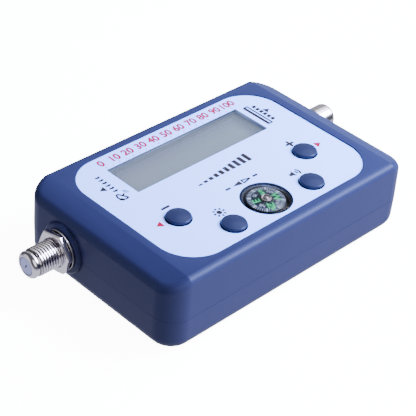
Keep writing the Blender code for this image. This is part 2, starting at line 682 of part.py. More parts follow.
def cut_top_openings(shop, cover):
    """Cut the label recess, the window, the button holes and the compass hole."""
    recess_top = CASE_HEIGHT + OVERRUN
    recess_outline = rounded_rectangle(
        LABEL_LENGTH + 2 * LABEL_SIDE_GAP, LABEL_WIDTH + 2 * LABEL_SIDE_GAP, LABEL_CORNER + LABEL_SIDE_GAP
    )
    recess = plate([recess_outline], recess_top - RECESS_FLOOR)
    cut(cover, shop.tool("label recess", recess, (0.0, LABEL_Y, between(RECESS_FLOOR, recess_top))))
    seat_length = WINDOW_LENGTH + 2 * (WINDOW_LEDGE + SEAT_GAP)
    seat_width = WINDOW_WIDTH + 2 * (WINDOW_LEDGE + SEAT_GAP)
    seat_floor = RECESS_FLOOR - WINDOW_SHEET - SEAT_GAP
    seat = block(seat_length, seat_width, recess_top - seat_floor)
    cut(cover, shop.tool("window seat", seat, (0.0, WINDOW_Y, between(seat_floor, recess_top))))
    low = RIB_UNDERSIDE - OVERRUN
    opening = block(WINDOW_LENGTH, WINDOW_WIDTH, recess_top - low)
    cut(cover, shop.tool("window opening", opening, (0.0, WINDOW_Y, between(low, recess_top))))
    low = ROOF_UNDERSIDE - OVERRUN
    for name, (x, y) in button_places().items():
        hole = rod(BUTTON_HOLE_RADIUS, recess_top - low)
        cut(cover, shop.tool(f"{name} hole", hole, (x, y, between(low, recess_top))))
    low = ROOF_UNDERSIDE - COMPASS_SLEEVE_LENGTH - OVERRUN
    hole = rod(COMPASS_HOLE_RADIUS, recess_top - low, FINE_SIDES)
    cut(cover, shop.tool("compass hole", hole, (0.0, COMPASS_Y, between(low, recess_top))))


def cut_top_pilots(shop, cover):
    """Drill the posts and the board bosses for their screws."""
    low = PARTING_HEIGHT - OVERRUN
    high = CASE_SCREW_RECESS + CASE_SCREW_LENGTH + OVERRUN
    for number, (x, y) in enumerate(corner_places(CASE_POST_X, CASE_POST_Y), 1):
        pilot = rod(CASE_SCREW_RADIUS + SEAT_GAP, high - low, SMALL_SIDES)
        cut(cover, shop.tool(f"case pilot {number}", pilot, (x, y, between(low, high))))
    low = MAIN_BOARD_TOP - OVERRUN
    high = MAIN_BOARD_TOP + BOARD_SCREW_REACH + OVERRUN
    for number, (x, y) in enumerate(corner_places(BOARD_BOSS_X, BOARD_BOSS_Y), 1):
        pilot = rod(BOARD_SCREW_RADIUS + SEAT_GAP, high - low, SMALL_SIDES)
        cut(cover, shop.tool(f"board pilot {number}", pilot, (x, y, between(low, high))))


def radio_post_places():
    """The four posts that carry the radio board."""
    near = RADIO_BOARD_FRONT_Y + RADIO_POST_SIDE_INSET
    far = RADIO_BOARD_BACK_Y - RADIO_POST_SIDE_INSET
    return [(sx * RADIO_POST_X, y) for y in (near, far) for sx in (-1, 1)]


def bottom_cover(shop):
    """The lower shell, with its screw posts and the posts of the radio board."""
    surface = case_surface(0.0, PARTING_HEIGHT + OVERRUN, False)
    cover = shop.part("bottom_cover", surface, "blue_plastic")
    shell(cover, BOTTOM_EDGE_RADIUS)
    add_port_bosses(shop, cover, "bottom")
    low = CASE_WALL / 2
    high = PARTING_HEIGHT + OVERRUN
    for number, (x, y) in enumerate(corner_places(CASE_POST_X, CASE_POST_Y), 1):
        mesh = rod(BOTTOM_POST_RADIUS, high - low, POST_SIDES)
        join(cover, shop.tool(f"bottom post {number}", mesh, (x, y, between(low, high))))
    high = RADIO_BOARD_HEIGHT - SEAT_GAP
    for number, (x, y) in enumerate(radio_post_places(), 1):
        mesh = rod(RADIO_POST_RADIUS, high - low, POST_SIDES)
        join(cover, shop.tool(f"radio post {number}", mesh, (x, y, between(low, high))))
    trim_at_parting(shop, cover, "bottom", BOTTOM_RIM, True)
    bore_ports(shop, cover, "bottom")
    for number, (x, y) in enumerate(corner_places(CASE_POST_X, CASE_POST_Y), 1):
        recess = rod(CASE_SCREW_HEAD_RADIUS + SEAT_GAP, CASE_SCREW_RECESS + OVERRUN, POST_SIDES)
        middle = between(-OVERRUN, CASE_SCREW_RECESS)
        cut(cover, shop.tool(f"head recess {number}", recess, (x, y, middle)))
        high = PARTING_HEIGHT + OVERRUN
        low = CASE_SCREW_RECESS - OVERRUN
        hole = rod(CASE_SCREW_RADIUS + SEAT_GAP, high - low, SMALL_SIDES)
        cut(cover, shop.tool(f"screw hole {number}", hole, (x, y, between(low, high))))
    for number, (x, y) in enumerate(radio_post_places()[:2], 1):
        high = RADIO_BOARD_HEIGHT + OVERRUN
        low = RADIO_BOARD_HEIGHT - RADIO_SCREW_REACH - OVERRUN
        pilot = rod(BOARD_SCREW_RADIUS + SEAT_GAP, high - low, SMALL_SIDES)
        cut(cover, shop.tool(f"radio pilot {number}", pilot, (x, y, between(low, high))))
    return cover


def front_label(shop):
    """The printed film, with its window and its holes."""
    outlines = [
        rounded_rectangle(LABEL_LENGTH, LABEL_WIDTH, LABEL_CORNER),
        rectangle(WINDOW_LENGTH, WINDOW_WIDTH, 0.0, WINDOW_Y - LABEL_Y),
        circle(COMPASS_HOLE_RADIUS, 0.0, COMPASS_Y - LABEL_Y, FINE_SIDES),
    ]
    for x, y in button_places().values():
        outlines.append(circle(BUTTON_HOLE_RADIUS, x, y - LABEL_Y))
    mesh = plate(outlines, LABEL_THICKNESS)
    shop.part("front_label", mesh, "label_film", (0.0, LABEL_Y, between(LABEL_UNDERSIDE, LABEL_TOP)))


def display(shop):
    """The clear window, the display glass, its holder, the light guide and the contact strips."""
    sheet = block(WINDOW_LENGTH + 2 * WINDOW_LEDGE, WINDOW_WIDTH + 2 * WINDOW_LEDGE, WINDOW_SHEET)
    sheet_place = (0.0, WINDOW_Y, RECESS_FLOOR - WINDOW_SHEET / 2)
    shop.part("display_window", sheet, "clear_plastic", sheet_place)
    glass = block(GLASS_LENGTH, GLASS_WIDTH, GLASS_THICKNESS)
    glass_place = (0.0, WINDOW_Y, between(GLASS_UNDERSIDE, GLASS_TOP))
    shop.part("lcd_glass", glass, "display_glass", glass_place)
    inner_length = GLASS_LENGTH + 2 * SEAT_GAP
    inner_width = GLASS_WIDTH + 2 * SEAT_GAP
    outer = rectangle(inner_length + 2 * HOLDER_WALL, inner_width + 2 * HOLDER_WALL)
    holder_top = ROOF_UNDERSIDE - SEAT_GAP
    holder = plate([outer, rectangle(inner_length, inner_width)], holder_top - ON_MAIN_BOARD)
    holder_place = (0.0, WINDOW_Y, between(ON_MAIN_BOARD, holder_top))
    shop.part("lcd_holder", holder, "black_plastic", holder_place)
    guide = block(GUIDE_LENGTH, GUIDE_WIDTH, GUIDE_THICKNESS)
    guide_place = (0.0, WINDOW_Y, between(ON_MAIN_BOARD, GUIDE_TOP))
    shop.part("lcd_light_guide", guide, "white_plastic", guide_place)
    offset = GLASS_WIDTH / 2 - STRIP_WIDTH / 2
    for name, side in (("lcd_contact_strip_front", -1), ("lcd_contact_strip_back", 1)):
        strip = block(STRIP_LENGTH, STRIP_WIDTH, GUIDE_THICKNESS)
        strip_place = (0.0, WINDOW_Y + side * offset, between(ON_MAIN_BOARD, GUIDE_TOP))
        shop.part(name, strip, "pink_rubber", strip_place)


def button_profile():
    """A cap from its crown down to the stem, as (radius, height above the stem's end)."""
    base = PLUNGER_TOP + SEAT_GAP
    edge = LABEL_TOP + BUTTON_RISE - base
    flange_top = ROOF_UNDERSIDE - SEAT_GAP - base
    flange_bottom = flange_top - BUTTON_FLANGE_THICKNESS
    inner = BUTTON_RADIUS - BUTTON_ROUNDING
    points = crown(inner, edge, BUTTON_CROWN)[:-1]
    for dx, dz in reversed(arc(BUTTON_ROUNDING, 0.0, math.pi / 2, ROUNDING_STEPS)):
        points.append((inner + dx, edge - BUTTON_ROUNDING + dz))
    points += [(BUTTON_RADIUS, flange_top), (BUTTON_FLANGE_RADIUS, flange_top)]
    points += [(BUTTON_FLANGE_RADIUS, flange_bottom), (BUTTON_STEM_RADIUS, flange_bottom)]
    return points + [(BUTTON_STEM_RADIUS, 0.0), (0.0, 0.0)]


def buttons(shop):
    """Four caps, each over a switch with its own plunger."""
    plunger_length = PLUNGER_STAND + SWITCH_WELL_DEPTH - BUTTON_TRAVEL - SEAT_GAP
    for name, (x, y) in button_places().items():
        axis = shop.axis_empty(f"{name}_axis", (x, y, 0.0))
        cap = turned(button_profile())
        shop.part(f"{name}_button", cap, "blue_plastic", (0.0, 0.0, PLUNGER_TOP + SEAT_GAP), parent=axis)
        plunger = rod(PLUNGER_RADIUS, plunger_length, SMALL_SIDES)
        plunger_place = (0.0, 0.0, PLUNGER_TOP - plunger_length / 2)
        shop.part(f"{name}_plunger", plunger, "black_plastic", plunger_place, parent=axis)
        body = block(SWITCH_SIDE, SWITCH_SIDE, SWITCH_HEIGHT)
        switch = shop.part(f"{name}_switch", body, "switch_steel", (x, y, ON_MAIN_BOARD + SWITCH_HEIGHT / 2))
        well = rod(PLUNGER_RADIUS + SEAT_GAP, SWITCH_WELL_DEPTH + OVERRUN)
        well_middle = between(SWITCH_TOP - SWITCH_WELL_DEPTH, SWITCH_TOP + OVERRUN)
        cut(switch, shop.tool(f"{name} well", well, (x, y, well_middle)))


def compass_capsule(shop):
    """The black cup, the pivot in it and the clear dome over it."""
    bore = COMPASS_RADIUS - COMPASS_WALL
    floor = ON_MAIN_BOARD + COMPASS_FLOOR
    cup = turned(
        [
            (0.0, floor),
            (bore - COMPASS_LEDGE, floor),
            (bore - COMPASS_LEDGE, COMPASS_LEDGE_HEIGHT),
            (bore, COMPASS_LEDGE_HEIGHT),
            (bore, COMPASS_RIM),
            (COMPASS_RADIUS, COMPASS_RIM),
            (COMPASS_RADIUS, ON_MAIN_BOARD),
            (0.0, ON_MAIN_BOARD),
        ],
        FINE_SIDES,
    )
    middle = (0.0, COMPASS_Y, 0.0)
    shop.part("compass_cup", cup, "black_plastic", middle)
    outer = bore - SEAT_GAP
    inner = outer - DOME_WALL
    side_top = DOME_SEAT + DOME_SIDE_HEIGHT
    outside = crown(outer, side_top, DOME_CROWN)
    inside = crown(inner, side_top - DOME_WALL / 2, DOME_CROWN - DOME_WALL / 2)
    profile = outside + [(outer, DOME_SEAT), (inner, DOME_SEAT)] + list(reversed(inside))
    dome = turned(profile, FINE_SIDES)
    shop.part("compass_dome", dome, "clear_plastic", middle)
    base = floor + SEAT_GAP
    shoulder = BEARING_UNDERSIDE + BEARING_BORE_DEPTH - SEAT_GAP - PIVOT_TIP_HEIGHT
    pivot = turned(
        [
            (0.0, shoulder + PIVOT_TIP_HEIGHT),
            (PIVOT_RADIUS, shoulder),
            (PIVOT_RADIUS, base + PIVOT_BASE_HEIGHT),
            (PIVOT_BASE_RADIUS, base + PIVOT_BASE_HEIGHT),
            (PIVOT_BASE_RADIUS, base),
            (0.0, base),
        ],
        SMALL_SIDES,
    )
    shop.part("compass_pivot", pivot, "brass", middle)


def ring(outer, inner, low, high, sides=ROUND_SIDES):
    """A flat ring between two heights."""
    return turned([(outer, high), (outer, low), (inner, low), (inner, high)], sides, closed=True)


def compass_card(shop):
    """The turning card with its magnet and its bearing cap, on the axis of the pivot."""
    axis = shop.axis_empty("compass_axis", (0.0, COMPASS_Y, 0.0))
    card = ring(CARD_RADIUS, CARD_HOLE_RADIUS, CARD_UNDERSIDE, CARD_TOP, FINE_SIDES)
    shop.part("compass_card", card, "card_black", parent=axis)
    magnet_top = CARD_UNDERSIDE - SEAT_GAP
    magnet = ring(MAGNET_RADIUS, CARD_HOLE_RADIUS, magnet_top - MAGNET_THICKNESS, magnet_top)
    shop.part("compass_magnet", magnet, "magnet_grey", parent=axis)
    top = BEARING_UNDERSIDE + BEARING_HEIGHT
    bearing = turned(
        [
            (0.0, top),
            (BEARING_RADIUS - BEARING_CHAMFER, top),
            (BEARING_RADIUS, top - BEARING_CHAMFER),
            (BEARING_RADIUS, BEARING_UNDERSIDE),
            (CARD_HOLE_RADIUS, BEARING_UNDERSIDE),
            (CARD_HOLE_RADIUS, BEARING_UNDERSIDE + BEARING_BORE_DEPTH),
            (0.0, BEARING_UNDERSIDE + BEARING_BORE_DEPTH),
        ]
    )
    shop.part("compass_bearing", bearing, "nickel", parent=axis)


def screw_mesh(head_radius, head_height, shank_radius, length):
    """A pan-head screw along z, head down, with its head's underside at z = 0."""
    return turned(
        [
            (0.0, length),
            (shank_radius, length),
            (shank_radius, 0.0),
            (head_radius, 0.0),
            (head_radius, -head_height),
            (0.0, -head_height),
        ],
        SMALL_SIDES,
    )


def case_screws(shop):
    """Four screws that hold the two shells together."""
    for number, (x, y) in enumerate(corner_places(CASE_POST_X, CASE_POST_Y), 1):
        mesh = screw_mesh(CASE_SCREW_HEAD_RADIUS, CASE_SCREW_HEAD, CASE_SCREW_RADIUS, CASE_SCREW_LENGTH)
        shop.part(f"case_screw_{number}", mesh, "screw_steel", (x, y, CASE_SCREW_BASE))


def board_hole_outlines(places, x_middle, y_middle):
    """Outlines of a board's screw holes, seen from the board's middle."""
    return [
        circle(BOARD_SCREW_RADIUS + SEAT_GAP, x - x_middle, y - y_middle, SMALL_SIDES) for x, y in places
    ]


def main_board(shop):
    """The main board and the screws that hang it under the top cover."""
    places = corner_places(BOARD_BOSS_X, BOARD_BOSS_Y)
    outlines = [rectangle(MAIN_BOARD_LENGTH, MAIN_BOARD_WIDTH)] + board_hole_outlines(places, 0.0, 0.0)
    mesh = plate(outlines, MAIN_BOARD_THICKNESS)
    shop.part("main_board", mesh, "board_green", (0.0, 0.0, between(MAIN_BOARD_HEIGHT, MAIN_BOARD_TOP)))
    length = MAIN_BOARD_TOP + BOARD_SCREW_REACH - UNDER_MAIN_BOARD
    for number, (x, y) in enumerate(places, 1):
        screw = screw_mesh(BOARD_SCREW_HEAD_RADIUS, BOARD_SCREW_HEAD, BOARD_SCREW_RADIUS, length)
        shop.part(f"board_screw_{number}", screw, "screw_steel", (x, y, UNDER_MAIN_BOARD))


def hung_block(shop, name, size, x, y, finish):
    """A component soldered under the main board."""
    length, width, height = size
    mesh = block(length, width, height)
    shop.part(name, mesh, finish, (x, y, UNDER_MAIN_BOARD - height / 2))


def main_board_components(shop):
    """What is soldered under the main board."""
    hung_block(shop, "microcontroller", (CHIP_SIDE, CHIP_SIDE, CHIP_HEIGHT), 0.0, CHIP_Y, "black_plastic")
    regulator = (REGULATOR_LENGTH, REGULATOR_WIDTH, REGULATOR_HEIGHT)
    hung_block(shop, "voltage_regulator", regulator, REGULATOR_X, REGULATOR_Y, "black_plastic")
    crystal = (CRYSTAL_LENGTH, CRYSTAL_WIDTH, CRYSTAL_HEIGHT)
    hung_block(shop, "crystal", crystal, 0.0, CRYSTAL_Y, "tinned_steel")
    for number in (1, 2):
        can = rod(CAPACITOR_RADIUS, CAPACITOR_HEIGHT)
        x = CAPACITOR_X + (number - 1) * CAPACITOR_PITCH
        middle = (x, CAPACITOR_Y, UNDER_MAIN_BOARD - CAPACITOR_HEIGHT / 2)
        shop.part(f"capacitor_{number}", can, "tinned_steel", middle)
    low = UNDER_MAIN_BOARD - BUZZER_HEIGHT
    sounder = turned(
        [
            (0.0, UNDER_MAIN_BOARD),
            (BUZZER_RADIUS, UNDER_MAIN_BOARD),
            (BUZZER_RADIUS, low),
            (BUZZER_HOLE_RADIUS, low),
            (BUZZER_HOLE_RADIUS, low + BUZZER_HOLE_DEPTH),
            (0.0, low + BUZZER_HOLE_DEPTH),
        ]
    )
    shop.part("buzzer", sounder, "black_plastic", (BUZZER_X, BUZZER_Y, 0.0))


def radio_board(shop):
    """The radio board, its shield can, its screws and the header to the main board."""
    screw_places = radio_post_places()[:2]
    holes = board_hole_outlines(screw_places, 0.0, RADIO_BOARD_Y)
    mesh = plate([rectangle(RADIO_BOARD_LENGTH, RADIO_BOARD_WIDTH)] + holes, RADIO_BOARD_THICKNESS)
    height = between(RADIO_BOARD_HEIGHT, RADIO_BOARD_TOP)
    shop.part("radio_board", mesh, "board_green", (0.0, RADIO_BOARD_Y, height))
    length = ON_RADIO_BOARD - RADIO_BOARD_HEIGHT + RADIO_SCREW_REACH
    for end, (x, y) in zip(("left", "right"), screw_places):
        screw = screw_mesh(BOARD_SCREW_HEAD_RADIUS, BOARD_SCREW_HEAD, BOARD_SCREW_RADIUS, length)
        turn = (math.pi, 0.0, 0.0)
        shop.part(f"radio_screw_{end}", screw, "screw_steel", (x, y, ON_RADIO_BOARD), turn)
    lid = block(SHIELD_LENGTH, SHIELD_WIDTH, SHIELD_HEIGHT)
    lid_place = (0.0, SHIELD_Y, ON_RADIO_BOARD + SHIELD_HEIGHT / 2)
    can = shop.part("radio_shield", lid, "tinned_steel", lid_place)
    inner_height = SHIELD_HEIGHT - SHIELD_SHEET + OVERRUN
    inner = block(SHIELD_LENGTH - 2 * SHIELD_SHEET, SHIELD_WIDTH - 2 * SHIELD_SHEET, inner_height)
    inner_middle = ON_RADIO_BOARD + SHIELD_HEIGHT - SHIELD_SHEET - inner_height / 2
    cut(can, shop.tool("shield inside", inner, (0.0, SHIELD_Y, inner_middle)))
    header = block(HEADER_LENGTH, HEADER_WIDTH, UNDER_MAIN_BOARD - ON_RADIO_BOARD)
    header_place = (0.0, HEADER_Y, between(ON_RADIO_BOARD, UNDER_MAIN_BOARD))
    shop.part("board_header", header, "black_plastic", header_place)


def thread_points(start, turns):
    """Ridges of a thread as (radius, distance), from the outer end inwards."""
    points = []
    root = THREAD_RADIUS - THREAD_DEPTH
    for turn in range(turns):
        top = start - turn * THREAD_PITCH
        points.append((root, top))
        points.append((THREAD_RADIUS, top - THREAD_PITCH / 2))
    points.append((root, start - turns * THREAD_PITCH))
    return points


def socket_profile():
    """The nickel body of a port, as (radius, distance from the middle plane)."""
    inner = COLLAR_RADIUS - NOSE_ROUNDING
    points = [(PORT_BORE_RADIUS, PORT_TIP_X)]
    for dx, dz in reversed(arc(NOSE_ROUNDING, 0.0, math.pi / 2, ROUNDING_STEPS)):
        points.append((inner + dx, PORT_TIP_X - NOSE_ROUNDING + dz))
    collar_end = PORT_TIP_X - COLLAR_LENGTH
    points.append((COLLAR_RADIUS, collar_end))
    points += thread_points(collar_end, THREAD_TURNS)
    shank = THREAD_RADIUS - THREAD_DEPTH
    flange_back = FLANGE_FACE - PORT_FLANGE_THICKNESS
    points += [(shank, FLANGE_FACE), (PORT_FLANGE_RADIUS, FLANGE_FACE), (PORT_FLANGE_RADIUS, flange_back)]
    points += [(PORT_TAIL_RADIUS, flange_back), (PORT_TAIL_RADIUS, PORT_TAIL_END)]
    return points + [(PORT_BORE_RADIUS, PORT_TAIL_END)]


def nut_mesh():
    """A hexagon nut along z, turned as it was left on the thread, before its hole is cut."""
    mesh = rod(NUT_ACROSS_FLATS / math.sqrt(3), NUT_THICKNESS, 6)
    mesh.transform(Matrix.Rotation(NUT_TURN, 4, "Z"))
    return mesh


def port(shop, side, end):
    """One F-type port: body, insulator, contact, washer and nut."""
    turn = port_turn(side)
    shop.part(f"port_body_{end}", turned(socket_profile(), closed=True), "nickel", port_place(side), turn)
    front = PORT_TIP_X - INSULATOR_SINK
    insulator = ring(PORT_BORE_RADIUS - SEAT_GAP, CONTACT_SOCKET_RADIUS + SEAT_GAP, PORT_TAIL_END, front)
    shop.part(f"port_insulator_{end}", insulator, "white_plastic", port_place(side), turn)
    tip = PORT_TIP_X - CONTACT_SINK
    contact = turned(
        [
            (0.0, tip),
            (CONTACT_SOCKET_RADIUS, tip),
            (CONTACT_SOCKET_RADIUS, PORT_TAIL_END),
            (CONTACT_PIN_RADIUS, PORT_TAIL_END),
            (CONTACT_PIN_RADIUS, CONTACT_PIN_END),
            (0.0, CONTACT_PIN_END),
        ],
        SMALL_SIDES,
    )
    shop.part(f"port_contact_{end}", contact, "brass", port_place(side), turn)
    hole = THREAD_RADIUS + SEAT_GAP
    washer = ring(WASHER_RADIUS, hole, WASHER_FACE - WASHER_THICKNESS, WASHER_FACE)
    shop.part(f"port_washer_{end}", washer, "nickel", port_place(side), turn)
    nut_middle = port_place(side, NUT_FACE - NUT_THICKNESS / 2)
    nut = shop.part(f"port_nut_{end}", nut_mesh(), "nickel", nut_middle, turn)
    bore = rod(hole, NUT_THICKNESS + 2 * OVERRUN)
    cut(nut, shop.tool(f"nut bore {end}", bore, nut_middle, turn))


def main():
    """Build the whole meter."""
    clear_scene()
    shop = Workshop()
    top_cover(shop)
    bottom_cover(shop)
    front_label(shop)
    display(shop)
    buttons(shop)
    compass_capsule(shop)
    compass_card(shop)
    main_board(shop)
    main_board_components(shop)
    radio_board(shop)
    case_screws(shop)
    for side, end in ENDS:
        port(shop, side, end)


main()
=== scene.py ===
"""Looks of a hand-held satellite signal meter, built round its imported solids.

The case stands on z = 0 and is centred on the z axis. +X runs along the line of the two ports and
+Y points to the display side of the top. Lengths are in metres, apart from the outlines of the
label's signs and the grain and relief of the finishes, which are in millimetres.
"""

from __future__ import annotations

import logging
import math
from collections.abc import Iterable, Sequence
from dataclasses import dataclass
from enum import Enum
from typing import Any

import bmesh
import bpy
from mathutils import Matrix, Vector

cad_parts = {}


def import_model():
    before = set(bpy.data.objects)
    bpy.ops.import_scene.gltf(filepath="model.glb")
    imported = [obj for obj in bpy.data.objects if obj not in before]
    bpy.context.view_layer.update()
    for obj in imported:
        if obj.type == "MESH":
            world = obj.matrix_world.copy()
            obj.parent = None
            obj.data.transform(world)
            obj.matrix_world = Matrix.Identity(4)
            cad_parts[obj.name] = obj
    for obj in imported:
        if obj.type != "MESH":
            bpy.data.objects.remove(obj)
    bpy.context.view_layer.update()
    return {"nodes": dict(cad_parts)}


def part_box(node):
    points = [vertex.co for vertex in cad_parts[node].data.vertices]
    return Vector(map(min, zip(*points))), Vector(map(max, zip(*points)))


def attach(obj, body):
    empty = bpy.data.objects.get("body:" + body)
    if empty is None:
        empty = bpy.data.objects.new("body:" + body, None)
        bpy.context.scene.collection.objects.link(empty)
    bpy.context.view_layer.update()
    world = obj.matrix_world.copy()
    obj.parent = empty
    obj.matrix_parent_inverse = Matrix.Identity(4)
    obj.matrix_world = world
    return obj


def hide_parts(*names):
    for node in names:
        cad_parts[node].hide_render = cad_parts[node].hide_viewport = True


frame: dict[str, Any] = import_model()
LOG = logging.getLogger("meter")

Mesh = bpy.types.Mesh
Socket = bpy.types.NodeSocket
Point2 = tuple[float, float]
Point3 = tuple[float, float, float]
Colour = tuple[float, float, float]
Outline = list[Point2]
Sizes = dict[str, float | int]

MM = 0.001
JOIN_DISTANCE = 0.00002 * MM
SHARP_ANGLE = math.radians(34)
CAPITAL_SHARE = 0.69


class End(Enum):
    """One end of the case, by the sign of its x."""

    LEFT = -1
    RIGHT = 1

    @property
    def word(self) -> str:
        """The end's name as the CAD nodes have it."""
        return self.name.lower()


# Wiring of node trees


class Wiring:
    """Adds nodes to a tree and joins them."""

    def __init__(self, tree: bpy.types.NodeTree) -> None:
        """Take the shader, world or geometry tree to wire."""
        self.tree = tree

    def add(self, kind: str, inputs: dict[str | int, Any] | None = None, **settings: Any) -> bpy.types.Node:
        """Add one node.

        Args:
            kind: the node's type name.
            inputs: values or sockets by the name or number of the input.
            settings: attributes of the node, such as its operation.

        Returns:
            The new node.
        """
        made = self.tree.nodes.new(kind)
        for name, value in settings.items():
            setattr(made, name, value)
        for key, value in (inputs or {}).items():
            if isinstance(value, Socket):
                self.tree.links.new(value, made.inputs[key])
            else:
                made.inputs[key].default_value = value
        return made

    def sum(self, operation: str, *values: Any) -> Socket:
        """The result of a Math node's operation on numbers or sockets."""
        return self.add("ShaderNodeMath", dict(enumerate(values)), operation=operation).outputs[0]

    def point(self, operation: str, inputs: dict[str | int, Any]) -> bpy.types.NodeOutputs:
        """The outputs of a Vector Math node."""
        return self.add("ShaderNodeVectorMath", inputs, operation=operation).outputs

    def vector(self, *parts: Any) -> Socket:
        """A vector from its x, y and z."""
        return self.add("ShaderNodeCombineXYZ", dict(enumerate(parts))).outputs[0]

    def split(self, place: Socket) -> bpy.types.NodeOutputs:
        """The x, y and z of a vector."""
        return self.add("ShaderNodeSeparateXYZ", {0: place}).outputs

    def ramp(self, value: Socket, low: Any, high: Any, bottom: float = 0.0, top: float = 1.0) -> Socket:
        """Stretch the range from low to high to the one from bottom to top, and stop at its ends."""
        inputs = {"Value": value, "From Min": low, "From Max": high, "To Min": bottom, "To Max": top}
        return self.add("ShaderNodeMapRange", inputs).outputs[0]

    def fade(self, value: Socket, low: float, high: float, top: float = 1.0) -> Socket:
        """A soft step from zero at low to the top at high."""
        inputs = {"Value": value, "From Min": low, "From Max": high, "To Max": top}
        return self.add("ShaderNodeMapRange", inputs, interpolation_type="SMOOTHSTEP").outputs[0]


class RuleTree(Wiring):
    """A Geometry Nodes tree that copies or bends a shape by a rule, with named inputs."""

    def __init__(self, name: str, sizes: Sizes) -> None:
        """Make an empty tree.

        Args:
            name: what the tree makes.
            sizes: its named inputs and their values; a whole number makes a whole-number input.
        """
        super().__init__(bpy.data.node_groups.new(name, "GeometryNodeTree"))
        face = self.tree.interface
        face.new_socket("Geometry", in_out="OUTPUT", socket_type="NodeSocketGeometry")
        face.new_socket("Geometry", in_out="INPUT", socket_type="NodeSocketGeometry")
        for label, value in sizes.items():
            kind = "NodeSocketInt" if isinstance(value, int) else "NodeSocketFloat"
            face.new_socket(label, in_out="INPUT", socket_type=kind)
        self.sizes = sizes
        self.size = self.add("NodeGroupInput").outputs
        self.index = self.add("GeometryNodeInputIndex").outputs[0]

    def side(self, number: Socket) -> Socket:
        """Minus one for an even number and plus one for an odd one."""
        return self.sum("SUBTRACT", self.sum("MULTIPLY", self.sum("MODULO", number, 2.0), 2.0), 1.0)

    def rank(self) -> Socket:
        """The number of the index's pair."""
        return self.sum("FLOOR", self.sum("DIVIDE", self.index, 2.0))

    def spaced(self, number: Socket, count: Socket, step: Socket) -> Socket:
        """The place of a number in an evenly spaced row that is centred on zero."""
        middle = self.sum("DIVIDE", self.sum("SUBTRACT", count, 1.0), 2.0)
        return self.sum("MULTIPLY", self.sum("SUBTRACT", number, middle), step)

    def polar(self, angle: Socket, radius: Socket) -> list[Socket]:
        """The x and y of a point at an angle and a radius."""
        return [self.sum("MULTIPLY", self.sum(word, angle), radius) for word in ("COSINE", "SINE")]

    def scatter(self, place: Socket, finish: Finish, seed: Mesh | None = None, **more: Any) -> Mesh:
        """Copy a shape to the place that the rule gives for each index.

        Args:
            place: a copy's place.
            finish: the copies' finish.
            seed: the mesh to copy, or nothing for a box of size one.
            more: further inputs of the copying node, such as Scale.

        Returns:
            The copies as one plain mesh.
        """
        points = self.add("GeometryNodePoints", {"Count": self.size["Count"], "Position": place})
        shape = self.size["Geometry"] if seed else self.add("GeometryNodeMeshCube").outputs[0]
        inputs = {"Points": points.outputs[0], "Instance": shape, **more}
        return self.grow(self.add("GeometryNodeInstanceOnPoints", inputs).outputs[0], finish, seed)

    def grow(self, geometry: Socket, finish: Finish, seed: Mesh | None = None) -> Mesh:
        """End the tree in Realize Instances and Set Material, and run it once.

        Args:
            geometry: the finished geometry.
            finish: the finish of every face.
            seed: the mesh that goes in, where the rule copies or bends one.

        Returns:
            The result as a plain mesh.
        """
        real = self.add("GeometryNodeRealizeInstances", {0: geometry}).outputs[0]
        painted = self.add("GeometryNodeSetMaterial", {"Geometry": real, "Material": finish.material()})
        self.add("NodeGroupOutput", {0: painted.outputs[0]})
        item = bpy.data.objects.new("rule", seed or bpy.data.meshes.new("rule"))
        bpy.context.scene.collection.objects.link(item)
        step = item.modifiers.new("rule", "NODES")
        step.node_group = self.tree
        for socket in self.tree.interface.items_tree:
            if socket.in_out == "INPUT" and socket.name in self.sizes:
                step[socket.identifier] = self.sizes[socket.name]
        graph = bpy.context.evaluated_depsgraph_get()
        mesh = bpy.data.meshes.new_from_object(item.evaluated_get(graph))
        item.modifiers.remove(step)
        bpy.data.objects.remove(item, do_unlink=True)
        return mesh


class Skin(Wiring):
    """A material's tree, which reads Object coordinates."""

    def __init__(self, tree: bpy.types.NodeTree) -> None:
        """Take the material's tree."""
        super().__init__(tree)
        self.place = self.add("ShaderNodeTexCoord").outputs["Object"]

    def noise(self, size: float, detail: float = 2.0, place: Socket | None = None) -> Socket:
        """Noise whose features have a given size in millimetres."""
        inputs = {"Vector": place or self.place, "Scale": 1 / (size * MM), "Detail": detail}
        return self.add("ShaderNodeTexNoise", inputs).outputs["Fac"]

    def tint(self, factor: Socket, low: Colour, high: Colour) -> Socket:
        """Mix two colours by a factor."""
        inputs = {0: factor, 6: (*low, 1.0), 7: (*high, 1.0)}
        return self.add("ShaderNodeMix", inputs, data_type="RGBA").outputs[2]

    def bump(self, height: Socket, relief: float, strength: float = 1.0) -> Socket:
        """The normal of a fine relief, whose height is in millimetres."""
        inputs = {"Height": height, "Distance": relief * MM, "Strength": strength}
        return self.add("ShaderNodeBump", inputs).outputs["Normal"]


# Finishes


